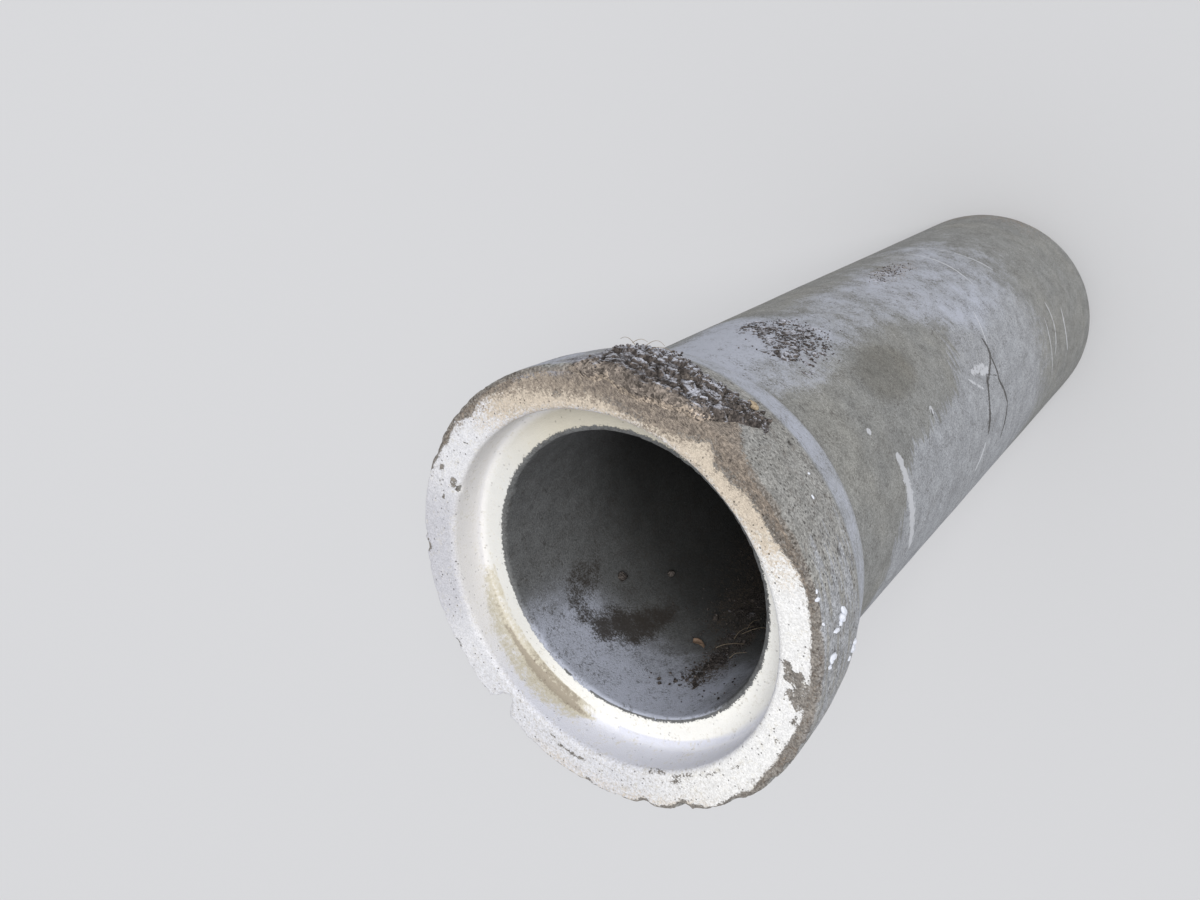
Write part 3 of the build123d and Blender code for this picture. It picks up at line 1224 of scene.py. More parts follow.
class Steps:
    """Adds nodes to a tree in order, so that a material reads as a list of steps."""

    def __init__(self, tree):
        self.tree = tree

    def join(self, value, socket):
        """Links a value to an input, or sets a plain one."""
        if isinstance(value, Value):
            self.tree.links.new(value.socket, socket)
        else:
            socket.default_value = value

    def node(self, kind, settings=None, **inputs):
        """A new node's inputs and outputs; its own inputs are named with _ for each space."""
        made = self.tree.nodes.new(kind)
        count = len(self.tree.nodes)
        made.location = (220 * (count % 14), -320 * (count // 14))
        for name, value in (settings or {}).items():
            setattr(made, name, value)
        for name, value in inputs.items():
            self.join(value, made.inputs[name.replace("_", " ")])
        return SimpleNamespace(inputs=made.inputs, outputs=Outputs(self, made.outputs))

    def math(self, operation, *values, clamp=False):
        made = self.node("ShaderNodeMath", {"operation": operation, "use_clamp": clamp})
        for value, socket in zip(values, made.inputs):
            self.join(value, socket)
        return made.outputs[0]

    def vector(self, operation, *values):
        made = self.node("ShaderNodeVectorMath", {"operation": operation})
        for value, socket in zip(values, made.inputs):
            self.join(value, socket)
        return made.outputs["Value" if operation in ("LENGTH", "DOT_PRODUCT") else "Vector"]

    def scaled(self, vector, share):
        made = self.node("ShaderNodeVectorMath", {"operation": "SCALE"}, Scale=share)
        self.join(vector, made.inputs[0])
        return made.outputs["Vector"]

    def mix(self, share, first, second, blend="MIX"):
        """A mix of two colours; a plain one has three numbers."""
        made = self.node("ShaderNodeMix", {"data_type": "RGBA", "blend_type": blend})
        self.join(share, made.inputs[0])
        for colour, socket in ((first, made.inputs[6]), (second, made.inputs[7])):
            self.join(colour if isinstance(colour, Value) else (*colour, 1), socket)
        return made.outputs[2]

    def tint(self, colour, tone):
        """A colour times a tone."""
        return self.mix(1.0, colour, tone, "MULTIPLY")

    def mixed_value(self, share, first, second):
        made = self.node("ShaderNodeMix", {"data_type": "FLOAT"})
        self.join(share, made.inputs[0])
        self.join(first, made.inputs[2])
        self.join(second, made.inputs[3])
        return made.outputs[0]

    def step(self, value, low, high, to_low=0.0, to_high=1.0):
        """A smooth step of a value from low to high."""
        made = self.node(
            "ShaderNodeMapRange", {"interpolation_type": "SMOOTHSTEP"},
            Value=value, From_Min=low, From_Max=high, To_Min=to_low, To_Max=to_high,
        )
        return made.outputs[0]

    def noise(self, vector, size, detail=4.0, roughness=0.55, distortion=0.0):
        """Noise from 0 to 1 with features of a size in metres."""
        made = self.node(
            "ShaderNodeTexNoise", Vector=vector, Scale=1 / size, Detail=detail, Roughness=roughness,
            Distortion=distortion,
        )
        return made.outputs[0]

    def cells(self, vector, scale):
        """Distance from the middle of the cell that a place is in, and the cell's random numbers."""
        made = self.node("ShaderNodeTexVoronoi", Vector=vector, Scale=scale, Randomness=1.0)
        numbers = self.node("ShaderNodeSeparateColor", Color=made.outputs["Color"]).outputs
        return made.outputs["Distance"], numbers

    def attribute(self, name):
        return self.node("ShaderNodeAttribute", {"attribute_name": name}).outputs["Fac"]

    def group(self, tree, **inputs):
        """The outputs of a group in this tree, with its inputs set."""
        return self.node("ShaderNodeGroup", {"node_tree": tree}, **inputs).outputs


def new_group(name, inputs, outputs):
    """An empty shader group: its tree and steps, its inputs as values, and the sockets of its outputs.

    An input with no default is a vector. The other inputs and the outputs are numbers.
    """
    tree = bpy.data.node_groups.new(name, "ShaderNodeTree")
    for socket_name, default in inputs.items():
        kind = "NodeSocketVector" if default is None else "NodeSocketFloat"
        socket = tree.interface.new_socket(name=socket_name, in_out="INPUT", socket_type=kind)
        if default is not None:
            socket.default_value = default
    for socket_name in outputs:
        tree.interface.new_socket(name=socket_name, in_out="OUTPUT", socket_type="NodeSocketFloat")
    steps = Steps(tree)
    given = steps.node("NodeGroupInput").outputs
    result = steps.node("NodeGroupOutput").inputs
    return tree, steps, given, result


def once(name, build):
    """A shader group that is built the first time it is asked for."""
    return bpy.data.node_groups.get(name) or build(name)


def build_pipe_place(name):
    """Station, radius and angle of a point of the pipe."""
    tree, steps, given, result = new_group(name, {"Place": None}, ["Station", "Radius", "Angle"])
    parts = steps.node("ShaderNodeSeparateXYZ", Vector=given["Place"]).outputs
    steps.join(PIPE_LENGTH - parts["Z"], result["Station"])
    flat = steps.vector("MULTIPLY", given["Place"], (1, 1, 0))
    steps.join(steps.vector("LENGTH", flat), result["Radius"])
    turn = steps.math("ARCTAN2", parts["X"] * -1.0, parts["Y"] * -1.0)
    steps.join(steps.math("DEGREES", turn), result["Angle"])
    return tree


def build_ragged(name):
    """A mask that is 1 where a level is over 0, with an edge broken up by noise and by single grains."""
    inputs = {"Level": 0.0, "Place": None, "Size": 0.02, "Raggedness": 0.3, "Speckle": 0.2, "Softness": 0.05}
    tree, steps, given, result = new_group(name, inputs, ["Mask"])
    broad = steps.noise(given["Place"], given["Size"], 5.0, 0.65)
    grain = steps.cells(given["Place"], 300.0)[1]["Red"]
    shift = (broad - 0.5) * given["Raggedness"] * 2.0
    speckle = (grain - 0.5) * given["Speckle"] * 1.2
    level = given["Level"] + shift + speckle
    low = given["Softness"] * -1.0
    steps.join(steps.step(level, low, given["Softness"]), result["Mask"])
    return tree


def build_grain(name):
    """Sand, small stones and air holes: a tone round 0.5, a mask of dark holes and a height."""
    inputs = {"Place": None, "Size": 0.003, "Holes": 0.3}
    tree, steps, given, result = new_group(name, inputs, ["Tone", "Holes", "Height"])
    scale = 1.0 / given["Size"]
    middle, shade = steps.cells(given["Place"], scale)
    sand = steps.node(
        "ShaderNodeTexNoise", Vector=given["Place"], Scale=scale * 0.8, Detail=4.0, Roughness=0.75
    ).outputs[0]
    tone = shade["Red"] * 0.6 + sand * 0.4
    steps.join(tone, result["Tone"])
    hole_middle, rare = steps.cells(given["Place"], scale * 0.42)
    chosen = steps.math("LESS_THAN", rare["Green"], given["Holes"])
    wobble = (sand - 0.5) * 0.5
    near = steps.step(hole_middle + wobble, 0.34, 0.16)
    holes = near * chosen
    steps.join(holes, result["Holes"])
    rise = steps.step(middle, 0.75, 0.1) * 0.5 + sand * 0.6
    steps.join(rise - holes * 1.6, result["Height"])
    return tree


def build_frost(name):
    """Frost crystals that thicken with a level from 0 to 1: their mask and height."""
    tree, steps, given, result = new_group(name, {"Place": None, "Level": 0.5}, ["Mask", "Height"])
    soft = steps.noise(given["Place"], 0.05, 5.0, 0.6)
    fine = steps.noise(given["Place"], 0.0035, 3.0, 0.75)
    level = given["Level"] + (soft - 0.5) * 0.9 + (fine - 0.5) * 0.9
    mask = steps.step(level, 0.28, 0.95) * steps.step(given["Level"], 0.02, 0.15)
    steps.join(mask, result["Mask"])
    steps.join(mask * fine, result["Height"])
    return tree


def build_stroke(name):
    """A scrape along a line from one place to another, tapered, bowed and frayed."""
    ends = {"From Across": 0.0, "From Angle": 0.0, "To Across": 0.0, "To Angle": 0.0}
    inputs = {
        "Across": 0.0, "Angle": 0.0, "Place": None, "Radius": BARREL_RADIUS, **ends, "Bow": 0.0, "Width": 0.01
    }
    tree, steps, given, result = new_group(name, inputs, ["Mask"])

    def flat(across, angle):
        around = steps.math("RADIANS", angle) * given["Radius"]
        return steps.node("ShaderNodeCombineXYZ", X=across, Y=around).outputs[0]

    start = flat(given["From Across"], given["From Angle"])
    end = flat(given["To Across"], given["To Angle"])
    here = flat(given["Across"], given["Angle"])
    line = steps.vector("SUBTRACT", end, start)
    offset = steps.vector("SUBTRACT", here, start)
    reach = steps.vector("DOT_PRODUCT", offset, line)
    share = steps.math("DIVIDE", reach, steps.vector("DOT_PRODUCT", line, line), clamp=True)
    arch = share * (1.0 - share) * 4.0
    bow = steps.node("ShaderNodeCombineXYZ", X=arch * given["Bow"]).outputs[0]
    nearest = steps.vector("ADD", steps.scaled(line, share), bow)
    apart = steps.vector("LENGTH", steps.vector("SUBTRACT", offset, nearest))
    fray = (steps.noise(given["Place"], 0.012, 5.0, 0.7) - 0.5) * 1.5
    taper = steps.math("POWER", arch, 0.4) * given["Width"]
    ratio = apart / (taper + 0.0004) + fray
    steps.join(steps.step(ratio, 0.62, 0.38), result["Mask"])
    return tree


def new_material(name):
    """A material with its steps and its Object coordinates."""
    material = bpy.data.materials.new(name)
    material.use_nodes = True
    steps = Steps(material.node_tree)
    return material, steps, steps.node("ShaderNodeTexCoord").outputs["Object"]


def dress(steps, colour, roughness, specular=0.5, bump=None):
    """Sets a material's shader; a bump has a strength, a depth in metres and a height."""
    shader = steps.tree.nodes["Principled BSDF"].inputs
    steps.join(colour, shader["Base Color"])
    steps.join(roughness, shader["Roughness"])
    steps.join(specular, shader["Specular IOR Level"])
    if bump:
        strength, distance, height = bump
        made = steps.node("ShaderNodeBump", Strength=strength, Distance=distance, Height=height)
        steps.join(made.outputs[0], shader["Normal"])


def floor_material(settings):
    """Plain pale floor."""
    material, steps, where = new_material("pale_floor")
    dress(steps, (*settings.floor_colour, 1), 0.9, 0.1)
    return material


def scrape_marks(steps, on_pipe, where):
    """Masks of the white and the dark scrapes on the barrel."""
    stroke = once("Stroke", build_stroke)
    barrel_only = steps.step(on_pipe["Radius"], 0.36, 0.37)
    white = [
        (0.607, 63.5, 0.662, 99, -0.004, 0.030), (0.600, 61.8, 0.616, 67, 0, 0.024),
        (1.160, 57.6, 1.262, 58.6, 0.010, 0.024), (1.215, 60.4, 1.285, 60.8, -0.004, 0.020),
        (1.125, 58.6, 1.205, 66.0, -0.004, 0.009), (1.190, 86.9, 1.136, 96.5, 0.003, 0.013),
        (1.945, 54.5, 1.925, 80, 0.020, 0.008), (1.880, 60, 1.905, 89, -0.012, 0.006),
        (2.080, 62, 2.100, 84, -0.015, 0.010), (1.673, -12, 1.772, 29, 0.010, 0.008),
        (1.607, -5, 1.560, 30, 0.008, 0.007), (1.405, 39, 1.345, 53, 0, 0.005),
        (0.848, 57, 0.856, 60, 0, 0.016), (0.532, 49.5, 0.540, 51.5, 0, 0.016),
    ]
    dark = [
        (1.336, 49.5, 1.330, 58.5, 0.006, 0.013), (1.336, 56.5, 1.250, 65.0, 0.004, 0.012),
        (1.258, 62.0, 1.222, 74.0, -0.003, 0.013), (1.228, 71.5, 1.204, 84.5, 0.003, 0.017),
        (1.330, 57.0, 1.337, 69.0, 0.004, 0.010), (1.332, 67.0, 1.384, 80.0, 0.004, 0.011),
        (1.384, 78.0, 1.344, 93.0, 0.005, 0.011), (1.262, 62.5, 1.330, 65.6, -0.003, 0.005),
        (1.700, -6, 1.600, 22, 0.01, 0.004), (0.850, 58, 0.846, 60.5, 0, 0.006),
    ]
    masks = []
    for marks in (white, dark):
        total = 0.0
        for mark in marks:
            shape = dict(zip(("From_Across", "From_Angle", "To_Across", "To_Angle", "Bow", "Width"), mark))
            here = {"Across": on_pipe["Station"], "Angle": on_pipe["Angle"], "Place": where}
            mask = steps.group(stroke, **here, **shape)["Mask"]
            total = steps.math("MAXIMUM", total, mask)
        masks.append(total * barrel_only)
    return masks


def concrete_material(scene):
    """Cast concrete with its weathering, under a lime coat that has worn off at the rim, with painted light
    and shade on the coat, the bell, the pits and in the bore.
    """
    colours = scene.pipe_colours
    material, steps, where = new_material("weathered_concrete")
    on_pipe = steps.group(once("Pipe place", build_pipe_place), Place=where)
    ragged = once("Ragged edge", build_ragged)
    grain = once("Grain", build_grain)
    frost = once("Frost", build_frost)
    station, radius, angle = on_pipe["Station"], on_pipe["Radius"], on_pipe["Angle"]

    def ragged_mask(level, size, raggedness, speckle, softness):
        """A mask of where a level is over 0, so what is taken from an attribute says where its edge lies."""
        shape = {"Size": size, "Raggedness": raggedness, "Speckle": speckle, "Softness": softness}
        return steps.group(ragged, Level=level, Place=where, **shape)["Mask"]

    outside = steps.step(radius, 0.345, 0.350)
    bell = steps.step(station, 0.196, 0.186) * outside
    bore = steps.step(radius, 0.3175, 0.3130)
    band = steps.step(station, 0.180, 0.210) * steps.step(station, 0.335, 0.270) * outside

    # Concrete: tone in broad clouds, runs down the sides, sand and stones, painted shade in the bore and
    # painted light on the bell's low side
    sand = steps.group(grain, Place=where, Size=0.0034, Holes=0.22)
    fine_sand = steps.group(grain, Place=where, Size=0.0028, Holes=0.12)
    clouds = steps.noise(where, 0.22, 5.0, 0.6)
    blotches = steps.noise(where, 0.050, 5.0, 0.60)
    turn = steps.math("RADIANS", angle) * 0.16
    runs_place = steps.node("ShaderNodeCombineXYZ", X=station, Y=turn, Z=radius).outputs[0]
    runs = steps.noise(runs_place, 0.036, 6.0, 0.62)
    bare = steps.mix(bell, colours.barrel, colours.bell)
    bare = steps.mix(steps.step(clouds, 0.40, 0.75, 0.0, 0.6), bare, colours.barrel_warm)
    bare = steps.mix(band * 0.62, bare, colours.band)
    # Painted shade in the bore: its concrete is darkened, and darker still further down, where less light
    # reaches
    deep = steps.mix(steps.step(station, 0.22, 0.62), colours.bore, colours.bore_deep_painted_shade)
    bare = steps.mix(bore, bare, deep)
    fingers_place = steps.node("ShaderNodeCombineXYZ", X=station, Y=turn * 0.40).outputs[0]
    drips = (steps.noise(fingers_place, 0.015, 3.0, 0.6) - 0.5) * 2.2
    near_edge = abs(steps.attribute("dry") - 0.42)
    drips = drips * steps.step(near_edge, 0.42, 0.18) * steps.step(station, 1.40, 1.10)
    drips = drips * steps.step(abs(angle), 125, 95)
    # The dry layer also makes the bell's low side pale as painted light
    dry = ragged_mask(steps.attribute("dry") - 0.42 + drips, 0.04, 0.22, 0.16, 0.12)
    dry = dry * steps.mixed_value(blotches, 0.80, 1.08)
    bare = steps.mix(dry * 0.70, bare, colours.dry)
    # Painted light: the low right of the bell is made lighter, standing in for the light that falls on that
    # side
    painted_light_low_right = steps.step(abs(angle - 92.0), 52.0, 25.0)
    painted_light_low_right = painted_light_low_right * steps.step(station, 0.46, 0.30) * outside
    bare = steps.tint(bare, steps.mixed_value(painted_light_low_right, 1.0, 1.09))
    shade = blotches * 0.88 + runs * 0.12
    shade = steps.mixed_value(steps.step(shade, 0.3, 0.7), 0.87, 1.11)
    tone = steps.mixed_value(bell, fine_sand["Tone"], sand["Tone"])
    spread = steps.mixed_value(bell, 0.70, 1.15)
    tone = 1.0 + (tone - 0.5) * spread
    bare = steps.tint(bare, shade * tone)
    patchy = steps.step(steps.noise(where, 0.016, 7.0, 0.75), 0.50, 0.66)
    bare = steps.mix(patchy * bell * 0.42, bare, colours.bare_face)
    # Painted shade: the air holes are darkened as the shade inside them
    holes = steps.mixed_value(bell, fine_sand["Holes"] * 0.12, sand["Holes"])
    bare = steps.mix(holes * 0.62, bare, colours.hole_shade)

    stained = steps.step(station, 0.009, 0.004) * outside
    bare_face = steps.tint(colours.bare_face, shade * tone)
    bare = steps.mix(stained * 0.80, bare, bare_face)
    # Painted shade: the pits, dented in the mesh, are darkened by their depth
    bare = steps.mix(steps.attribute("pit") * 0.7, bare, colours.hole_shade)

    # Damp and wet places, then the dirty stones behind the rim
    damp = ragged_mask(steps.attribute("damp") - 0.45, 0.05, 0.30, 0.10, 0.35)
    bare = steps.mix(damp, bare, colours.damp, "MULTIPLY")
    wet = ragged_mask(steps.attribute("wet") - 0.42, 0.026, 0.75, 0.60, 0.55)
    bare = steps.mix(wet * 0.84, bare, colours.wet)
    grime = ragged_mask(steps.attribute("grime") - 0.72, 0.014, 0.35, 0.75, 0.10)
    bare = steps.mix(grime * 0.58, bare, colours.grime)

    # Frost
    swirl = runs * 0.15 - (1.0 - clouds) * 0.9 + 0.36
    frost_amount = steps.attribute("frost") * (0.85 + swirl)
    frost_amount = frost_amount * steps.mixed_value(wet, 1.0, 0.25)
    frosted = steps.group(frost, Place=where, Level=frost_amount)
    strength = steps.mixed_value(bore, 0.70, 0.95)
    even = steps.step(frost_amount, 0.05, 0.95) * 0.48 + frosted["Mask"] * 0.54
    frost_mask = steps.mixed_value(bore, frosted["Mask"], even)
    bare = steps.mix(frost_mask * strength, bare, colours.frost)

    # Lime coat, tanned at the top, cream on the seat and stained in the lower left of the socket, with
    # painted light and shade on the face, the seat and the socket's wall
    # Painted sunlight: the right of the face takes a brighter, whiter copy of the coat, standing in for the
    # light that falls there
    painted_sunlit_side = steps.step(angle, -30, 60) * steps.step(angle, 175, 140)
    # Painted shade: the left of the face takes a darker, bluish copy of the coat, its tint partly frost dust
    painted_shade_left = steps.step(abs(angle + 96.0), 12.0, 32.0)
    clean = steps.mix(painted_shade_left, colours.coat_left_painted_shade, colours.coat)
    clean = steps.mix(painted_sunlit_side, clean, colours.coat_painted_sunlight)
    # The seat: brightened on its right and bottom as painted sunlight, a darker copy on its left as painted
    # shade, and high up tanned and darkened as painted shade under the socket's wall
    seat = steps.mix(steps.step(angle, -60, 0), colours.coat_seat_left_painted_shade, colours.coat_seat)
    seat = steps.mix(steps.step(angle, -120, -165), seat, colours.coat_seat)
    seat = steps.mix(steps.step(abs(angle), 72, 25), seat, colours.coat_seat_top_tan_and_painted_shade)
    # The socket's wall: its bluish tint is painted sky-lit shade, and its left is cream
    left = steps.step(abs(angle + 80.0), 75, 35)
    wall = steps.mix(left, colours.coat_wall, colours.coat_wall_left)
    clean = steps.mix(steps.step(radius, 0.3725, 0.366), clean, wall)
    seat_edge = steps.mixed_value(steps.step(angle, 150, 124), 0.358, 0.370)
    clean = steps.mix(steps.step(radius, seat_edge, 0.352), clean, seat)
    inner = steps.step(abs(station - 0.042), 0.046, 0.028)
    clean = steps.mix(inner * steps.step(radius, 0.366, 0.370), clean, wall)
    mottle = steps.noise(where, 0.028, 6.0, 0.65)
    clean = steps.tint(clean, steps.mixed_value(mottle, 0.90, 1.06))
    cream = ragged_mask(steps.attribute("cream") - 0.42, 0.022, 0.35, 0.50, 0.40)
    cream = cream * steps.step(steps.attribute("cream"), 0.04, 0.25)
    clean = steps.mix(cream * 0.85, clean, colours.coat_tan)
    stain = (mottle - 0.5) * 1.2 + (steps.noise(where, 0.007, 4.0, 0.7) - 0.5) * 1.2
    yellow = steps.attribute("yellow") + stain
    clean = steps.mix(steps.step(yellow, 0.02, 0.70), clean, colours.yellow)
    clean = steps.mix(steps.step(yellow, 0.66, 1.15), clean, colours.rust)
    specks = steps.group(grain, Place=where, Size=0.0026, Holes=0.10)
    on_face = steps.step(station, 0.02, 0.004)
    sandy = steps.tint(clean, steps.mixed_value(specks["Tone"], 0.76, 1.20))
    clean = steps.mix(on_face, clean, sandy)
    bottom = steps.step(abs(angle), 118, 150) * on_face
    gravel = steps.step(steps.noise(where, 0.0065, 4.0, 0.8), 0.50, 0.62) * bottom * 0.62
    clean = steps.mix(gravel, clean, colours.coat_gravel)
    speck_share = specks["Holes"] * steps.mixed_value(on_face, 0.25, 0.80)
    dirt = steps.group(grain, Place=where, Size=0.0031, Holes=0.34)
    tanned = steps.step(steps.attribute("cream"), 0.30, 0.75) * on_face
    crack = abs(steps.noise(where, 0.040, 4.0, 0.6) - 0.5)
    crack = steps.step(crack, 0.009, 0.002) * tanned * 0.55
    clean = steps.mix(crack, clean, colours.soil_wash_dark)
    clean = steps.mix(speck_share, clean, colours.grime)
    clean = steps.mix(dirt["Holes"] * tanned * 0.55, clean, colours.soil_wash_dark)
    margin = steps.attribute("coat") * steps.mixed_value(steps.attribute("cream"), 110.0, 45.0)
    coat = ragged_mask(margin, 0.014, 0.62, 0.42, 0.12)
    surface = steps.mix(coat, bare, clean)

    # Soil washed over both
    soil = ragged_mask(steps.attribute("soil") - 0.54, 0.024, 0.40, 0.45, 0.22)
    shade = steps.step(steps.noise(where, 0.010, 6.0, 0.78), 0.36, 0.64)
    soil_tone = steps.mix(shade, colours.soil_wash_dark, colours.soil_wash)
    soil_tone = steps.tint(soil_tone, 0.62 + sand["Tone"] * 0.76)
    soil_tone = steps.mix(bore * 0.80, soil_tone, colours.soil_bore)
    icy = frost_mask * (1.0 - bore)
    soil = soil * steps.mixed_value(icy, 1.0, 0.40)
    surface = steps.mix(soil * 0.86, surface, soil_tone)
    white, dark = scrape_marks(steps, on_pipe, where)
    surface = steps.mix(white * 0.82, surface, colours.scrape)
    # The dark scrapes are cracks, drawn in the dark of painted shade
    surface = steps.mix(dark * 0.82, surface, colours.hole_shade)

    rough = steps.mixed_value(damp, 0.92, 0.75)
    rough = steps.mixed_value(wet, rough, 0.45)
    rough = steps.mixed_value(coat, rough, 0.80)
    height = steps.mixed_value(bell, fine_sand["Height"] * 0.30, sand["Height"] * 0.60)
    height = steps.mixed_value(coat, height, 0.7 + specks["Height"] * 0.35)
    height = height + frosted["Height"] * 0.25 + soil * sand["Height"] * 0.8
    dress(steps, surface, rough, 0.25, (0.9, 0.0022, height))
    return material


def soil_material():
    """Frozen soil: dark and frosted where it is broken, dry and brown where it is thin, darkened in its
    hollows as painted shade.
    """
    found = bpy.data.materials.get("frozen_soil")
    if found:
        return found
    colours = bpy.context.scene.pipe_colours
    material, steps, where = new_material("frozen_soil")
    grain = steps.group(once("Grain", build_grain), Place=where, Size=0.0038, Holes=0.35)
    clouds = steps.noise(where, 0.03, 5.0, 0.7)
    dry = steps.attribute("dry")
    depth = steps.attribute("depth")
    dry_share = dry + (clouds - 0.5) * 0.6
    colour = steps.mix(steps.step(dry_share, 0.25, 0.80), colours.soil_dark, colours.soil_dry)
    tan = steps.attribute("thin") + (grain["Tone"] - 0.5) * 1.4
    colour = steps.mix(steps.step(tan, 0.35, 0.75), colour, colours.soil_thin)
    tone = 1.0 + (grain["Tone"] - 0.5) * 1.8
    # Painted light and shade: the depth layer darkens the soil's hollows and lightens its raised parts
    painted_hollow_shade = steps.mixed_value(steps.step(depth, -0.40, 0.30), 0.62, 1.15)
    colour = steps.tint(colour, tone * painted_hollow_shade)
    normal = steps.node("ShaderNodeNewGeometry").outputs["Normal"]
    facing = steps.node("ShaderNodeSeparateXYZ", Vector=normal).outputs
    up = steps.step(facing["Y"] * -1.0, 0.45, 0.95)
    level = up * 0.62 + depth * 0.95 - dry * 0.40 - facing["Z"] * 0.25
    frosted = steps.group(once("Frost", build_frost), Place=where, Level=level)
    colour = steps.mix(frosted["Mask"] * 0.90, colour, colours.soil_frost)
    height = grain["Height"] + frosted["Height"] * 0.6
    dress(steps, colour, 0.95, 0.2, (1.0, 0.003, height))
    return material


def pebble_material():
    """Tan pebble with darker veins."""
    material, steps, where = new_material("tan_pebble")
    veins = steps.noise(where, 0.004, 4.0, 0.6, 0.5)
    colour = steps.mix(steps.step(veins, 0.4, 0.65), (0.46, 0.37, 0.25), (0.24, 0.18, 0.12))
    dress(steps, colour, 0.7, bump=(0.4, 0.0006, veins))
    return material


def straw_material():
    """Dead grass stalks."""
    material, steps, where = new_material("dead_straw")
    streaks = steps.noise(steps.vector("MULTIPLY", where, (1, 1, 0.25)), 0.002, 3.0, 0.6)
    dress(steps, steps.mix(streaks, (0.36, 0.295, 0.215), (0.19, 0.145, 0.10)), 0.8)
    return material


def leaf_material():
    """Dead brown leaf with paler veins."""
    material, steps, where = new_material("dead_leaf")
    mottle = steps.noise(where, 0.006, 4.0, 0.65)
    veins = steps.step(abs(steps.noise(where, 0.011, 1.0, 0.4) - 0.5), 0.03, 0.0)
    colour = steps.mix(mottle, (0.255, 0.165, 0.108), (0.15, 0.10, 0.070))
    colour = steps.mix(veins * 0.6, colour, (0.34, 0.255, 0.18))
    dress(steps, colour, 0.75, bump=(0.5, 0.0005, veins + mottle))
    return material


def snow_material():
    """Old snow, a little blue in its hollows."""
    material, steps, where = new_material("old_snow")
    grain = steps.noise(where, 0.003, 4.0, 0.7)
    colour = steps.mix(steps.step(grain, 0.3, 0.7), (0.70, 0.74, 0.84), (0.84, 0.85, 0.89))
    dress(steps, colour, 0.7, bump=(0.6, 0.0012, grain))
    return material


# Settings, panel and registration


def colour_setting(name, description, default):
    """A colour that the panel shows, in linear values."""
    return FloatVectorProperty(
        name=name, description=description, default=default, subtype="COLOR", min=0, max=1
    )


class PIPE_PG_casting(bpy.types.PropertyGroup):
    fine_sides: IntProperty(
        name="Sides",
        description="Sides round the bell; the barrel has half as many",
        default=560,
        min=64,
        max=1024,
    )
    crumble: FloatProperty(
        name="Crumbling", description="How far the rim has crumbled", default=1.0, min=0, max=3
    )
    sand: FloatProperty(name="Sand", description="How rough the bell's outside is", default=1.0, min=0, max=3)


class PIPE_PG_soil(bpy.types.PropertyGroup):
    thickness: FloatProperty(
        name="Crust thickness",
        description="Thickness of the soil on the bell",
        default=0.017,
        min=0,
        max=0.03,
        unit="LENGTH",
    )


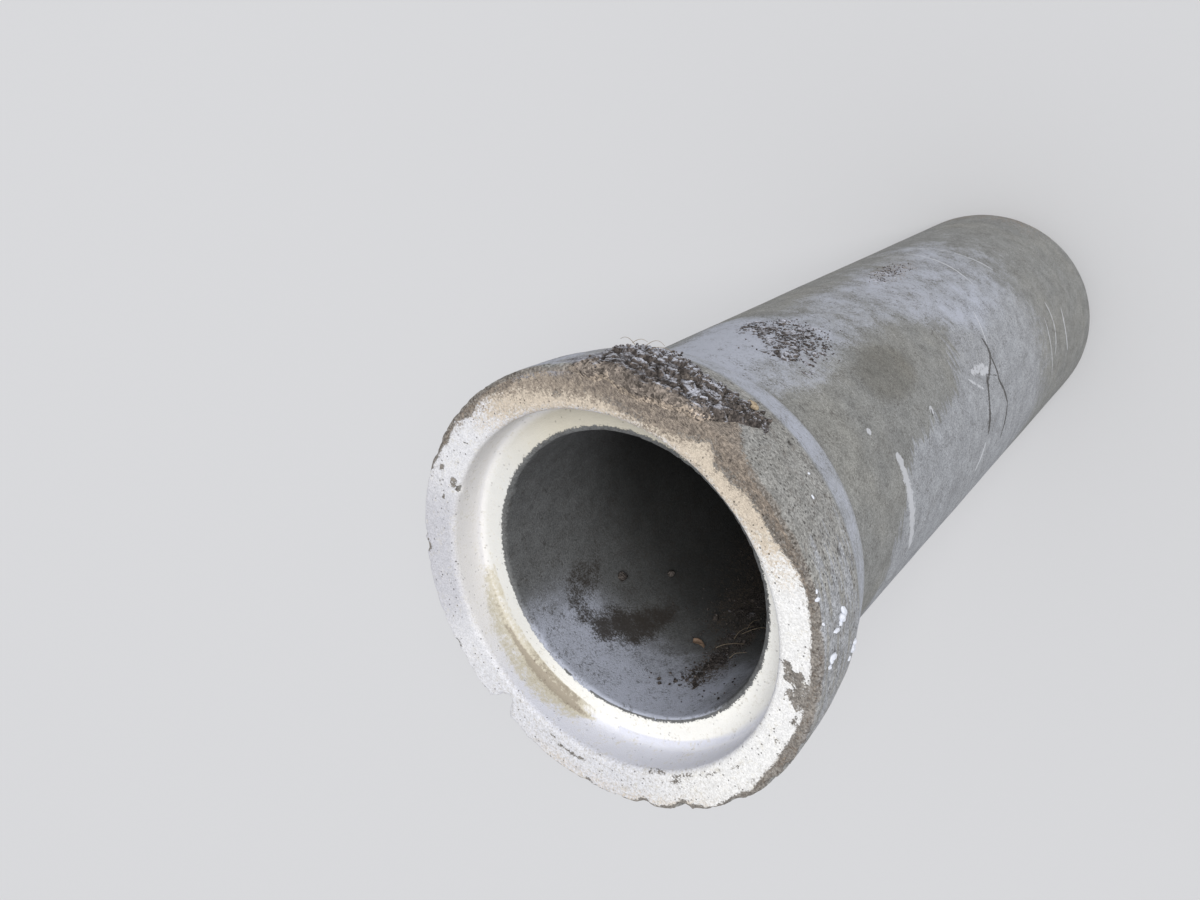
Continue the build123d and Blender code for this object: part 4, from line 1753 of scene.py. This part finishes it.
class PIPE_PG_colours(bpy.types.PropertyGroup):
    barrel: colour_setting("Barrel", "Concrete of the barrel", (0.250, 0.253, 0.246))
    barrel_warm: colour_setting("Warm clouds", "Warmer clouds in the concrete", (0.275, 0.268, 0.242))
    bell: colour_setting("Bell", "Sandy concrete of the bell's outside", (0.315, 0.312, 0.300))
    band: colour_setting("Band", "Smooth band behind the bell", (0.49, 0.51, 0.555))
    # Also makes the bell's low side pale as painted light
    dry: colour_setting("Dry concrete", "Pale dry side of the barrel", (0.385, 0.40, 0.435))
    # Painted shade: the bore's concrete is darkened
    bore: colour_setting("Bore", "Concrete inside the bore's mouth", (0.150, 0.153, 0.153))
    # Painted shade: darker still further down the bore
    bore_deep_painted_shade: colour_setting("Deep bore", "Concrete further down the bore", (0.043, 0.044, 0.043))
    bare_face: colour_setting(
        "Bare face", "Stained concrete where the coat has come off", (0.235, 0.210, 0.186)
    )
    # Painted shade in air holes, pits and cracks
    hole_shade: colour_setting("Holes", "Air holes and cracks", (0.050, 0.045, 0.040))
    damp: colour_setting("Damp", "What damp does to the concrete's colour", (0.74, 0.72, 0.68))
    wet: colour_setting("Wet", "Wet places in the bore", (0.042, 0.034, 0.028))
    grime: colour_setting("Grime", "Dirty stones", (0.085, 0.070, 0.058))
    frost: colour_setting("Frost", "Frost", (0.47, 0.495, 0.58))
    soil_frost: colour_setting("Frost on the soil", "Thicker frost on the broken soil", (0.62, 0.635, 0.71))
    coat: colour_setting("Coat", "Lime coat on the face", (0.72, 0.72, 0.75))
    # Painted shade: a darker, bluish copy of the coat for the left of the face, its tint partly frost dust
    coat_left_painted_shade: colour_setting(
        "Coat on the left", "Lime coat on the left side of the face", (0.53, 0.53, 0.575)
    )
    # Painted sunlight: a brighter, whiter copy of the coat for the right of the face
    coat_painted_sunlight: colour_setting("Bright coat", "Lime coat on the sunlit side of the face", (0.88, 0.87, 0.85))
    # Its bluish tint is painted sky-lit shade
    coat_wall: colour_setting("Coat in the socket", "Lime coat on the socket's wall", (0.75, 0.76, 0.84))
    coat_wall_left: colour_setting(
        "Coat on the left wall", "Lime coat on the left of the socket's wall", (0.86, 0.84, 0.83)
    )
    # Painted sunlight: the seat's coat is brightened to stand in for the sun on it
    coat_seat: colour_setting("Coat on the seat", "Lime coat on the seat", (0.97, 0.955, 0.905))
    # Painted shade: a darker copy of the seat's coat for its left
    coat_seat_left_painted_shade: colour_setting(
        "Coat on the left of the seat", "Lime coat on the left of the seat", (0.74, 0.735, 0.71)
    )
    # A tan stain, darkened as painted shade under the socket's wall
    coat_seat_top_tan_and_painted_shade: colour_setting("Coat on the upper seat", "Lime coat high on the seat", (0.64, 0.60, 0.50))
    coat_gravel: colour_setting("Stones in the coat", "Stones that show through the coat", (0.44, 0.41, 0.37))
    coat_tan: colour_setting("Tanned coat", "Lime coat under the soil crust", (0.60, 0.50, 0.38))
    yellow: colour_setting("Yellow stain", "Yellow stain in the socket", (0.60, 0.56, 0.46))
    rust: colour_setting("Brown stain", "Low end of the stain in the socket", (0.37, 0.325, 0.26))
    soil_dark: colour_setting("Dark soil", "Frozen soil", (0.098, 0.084, 0.077))
    soil_dry: colour_setting("Dry soil", "Dry soil on the front of the crust", (0.285, 0.242, 0.208))
    soil_thin: colour_setting("Thin soil", "Thin soil on the bell's face", (0.40, 0.33, 0.265))
    soil_wash_dark: colour_setting("Dark wash", "Darker soil washed over the concrete", (0.175, 0.145, 0.122))
    soil_bore: colour_setting("Dirt in the bore", "Dark dirt washed along the bore", (0.060, 0.048, 0.038))
    soil_wash: colour_setting("Wash", "Soil washed over the concrete", (0.385, 0.320, 0.260))
    scrape: colour_setting("Scrapes", "White scrapes on the barrel", (0.56, 0.57, 0.60))


class PIPE_PG_stage(bpy.types.PropertyGroup):
    key_strength: FloatProperty(
        name="Key light", description="Strength of the soft key light", default=2.1, min=0, max=10
    )
    key_size: FloatProperty(
        name="Key softness",
        description="Angle that the key light fills",
        default=0.6,
        min=0,
        max=pi,
        subtype="ANGLE",
    )
    key_from: FloatVectorProperty(
        name="Key direction", description="Where the key light comes from", default=(-0.45, -0.45, 0.77),
        subtype="DIRECTION",
    )
    sky_strength: FloatProperty(
        name="Fill light", description="Strength of the even fill light", default=0.62, min=0, max=3
    )
    sky_colour: colour_setting("Fill colour", "Colour of the fill light", (0.97, 0.98, 1.0))
    floor_colour: colour_setting("Floor", "Pale floor and backdrop", (0.62, 0.62, 0.63))


OPERATORS = (
    PIPE_OT_stage, PIPE_OT_casting, PIPE_OT_bell_crust, PIPE_OT_barrel_soil, PIPE_OT_bore_soil,
    PIPE_OT_clods, PIPE_OT_litter, PIPE_OT_snow,
)
SETTINGS = {
    "pipe_casting": PIPE_PG_casting,
    "pipe_soil": PIPE_PG_soil,
    "pipe_colours": PIPE_PG_colours,
    "pipe_stage": PIPE_PG_stage,
}


class PIPE_PT_panel(bpy.types.Panel):
    """The pipe's pieces and settings"""

    bl_label = "Concrete pipe"
    bl_space_type = "VIEW_3D"
    bl_region_type = "UI"
    bl_category = "Pipe"

    def draw(self, context):
        for operator in OPERATORS:
            self.layout.operator(operator.bl_idname)
        for settings_name, settings_class in SETTINGS.items():
            box = self.layout.box()
            for setting in settings_class.__annotations__:
                box.prop(getattr(context.scene, settings_name), setting)


def register():
    for settings_name, settings_class in SETTINGS.items():
        bpy.utils.register_class(settings_class)
        setattr(bpy.types.Scene, settings_name, PointerProperty(type=settings_class))
    for each in (*OPERATORS, PIPE_PT_panel):
        bpy.utils.register_class(each)


def unregister():
    for each in (PIPE_PT_panel, *reversed(OPERATORS)):
        bpy.utils.unregister_class(each)
    for settings_name, settings_class in reversed(SETTINGS.items()):
        delattr(bpy.types.Scene, settings_name)
        bpy.utils.unregister_class(settings_class)


def main():
    register()
    bpy.ops.pipe.stage()
    bpy.ops.pipe.casting()
    bpy.ops.pipe.bell_crust()
    bpy.ops.pipe.barrel_soil()
    bpy.ops.pipe.bore_soil()
    bpy.ops.pipe.clods()
    bpy.ops.pipe.litter()
    bpy.ops.pipe.snow()


if __name__ == "__main__":
    main()
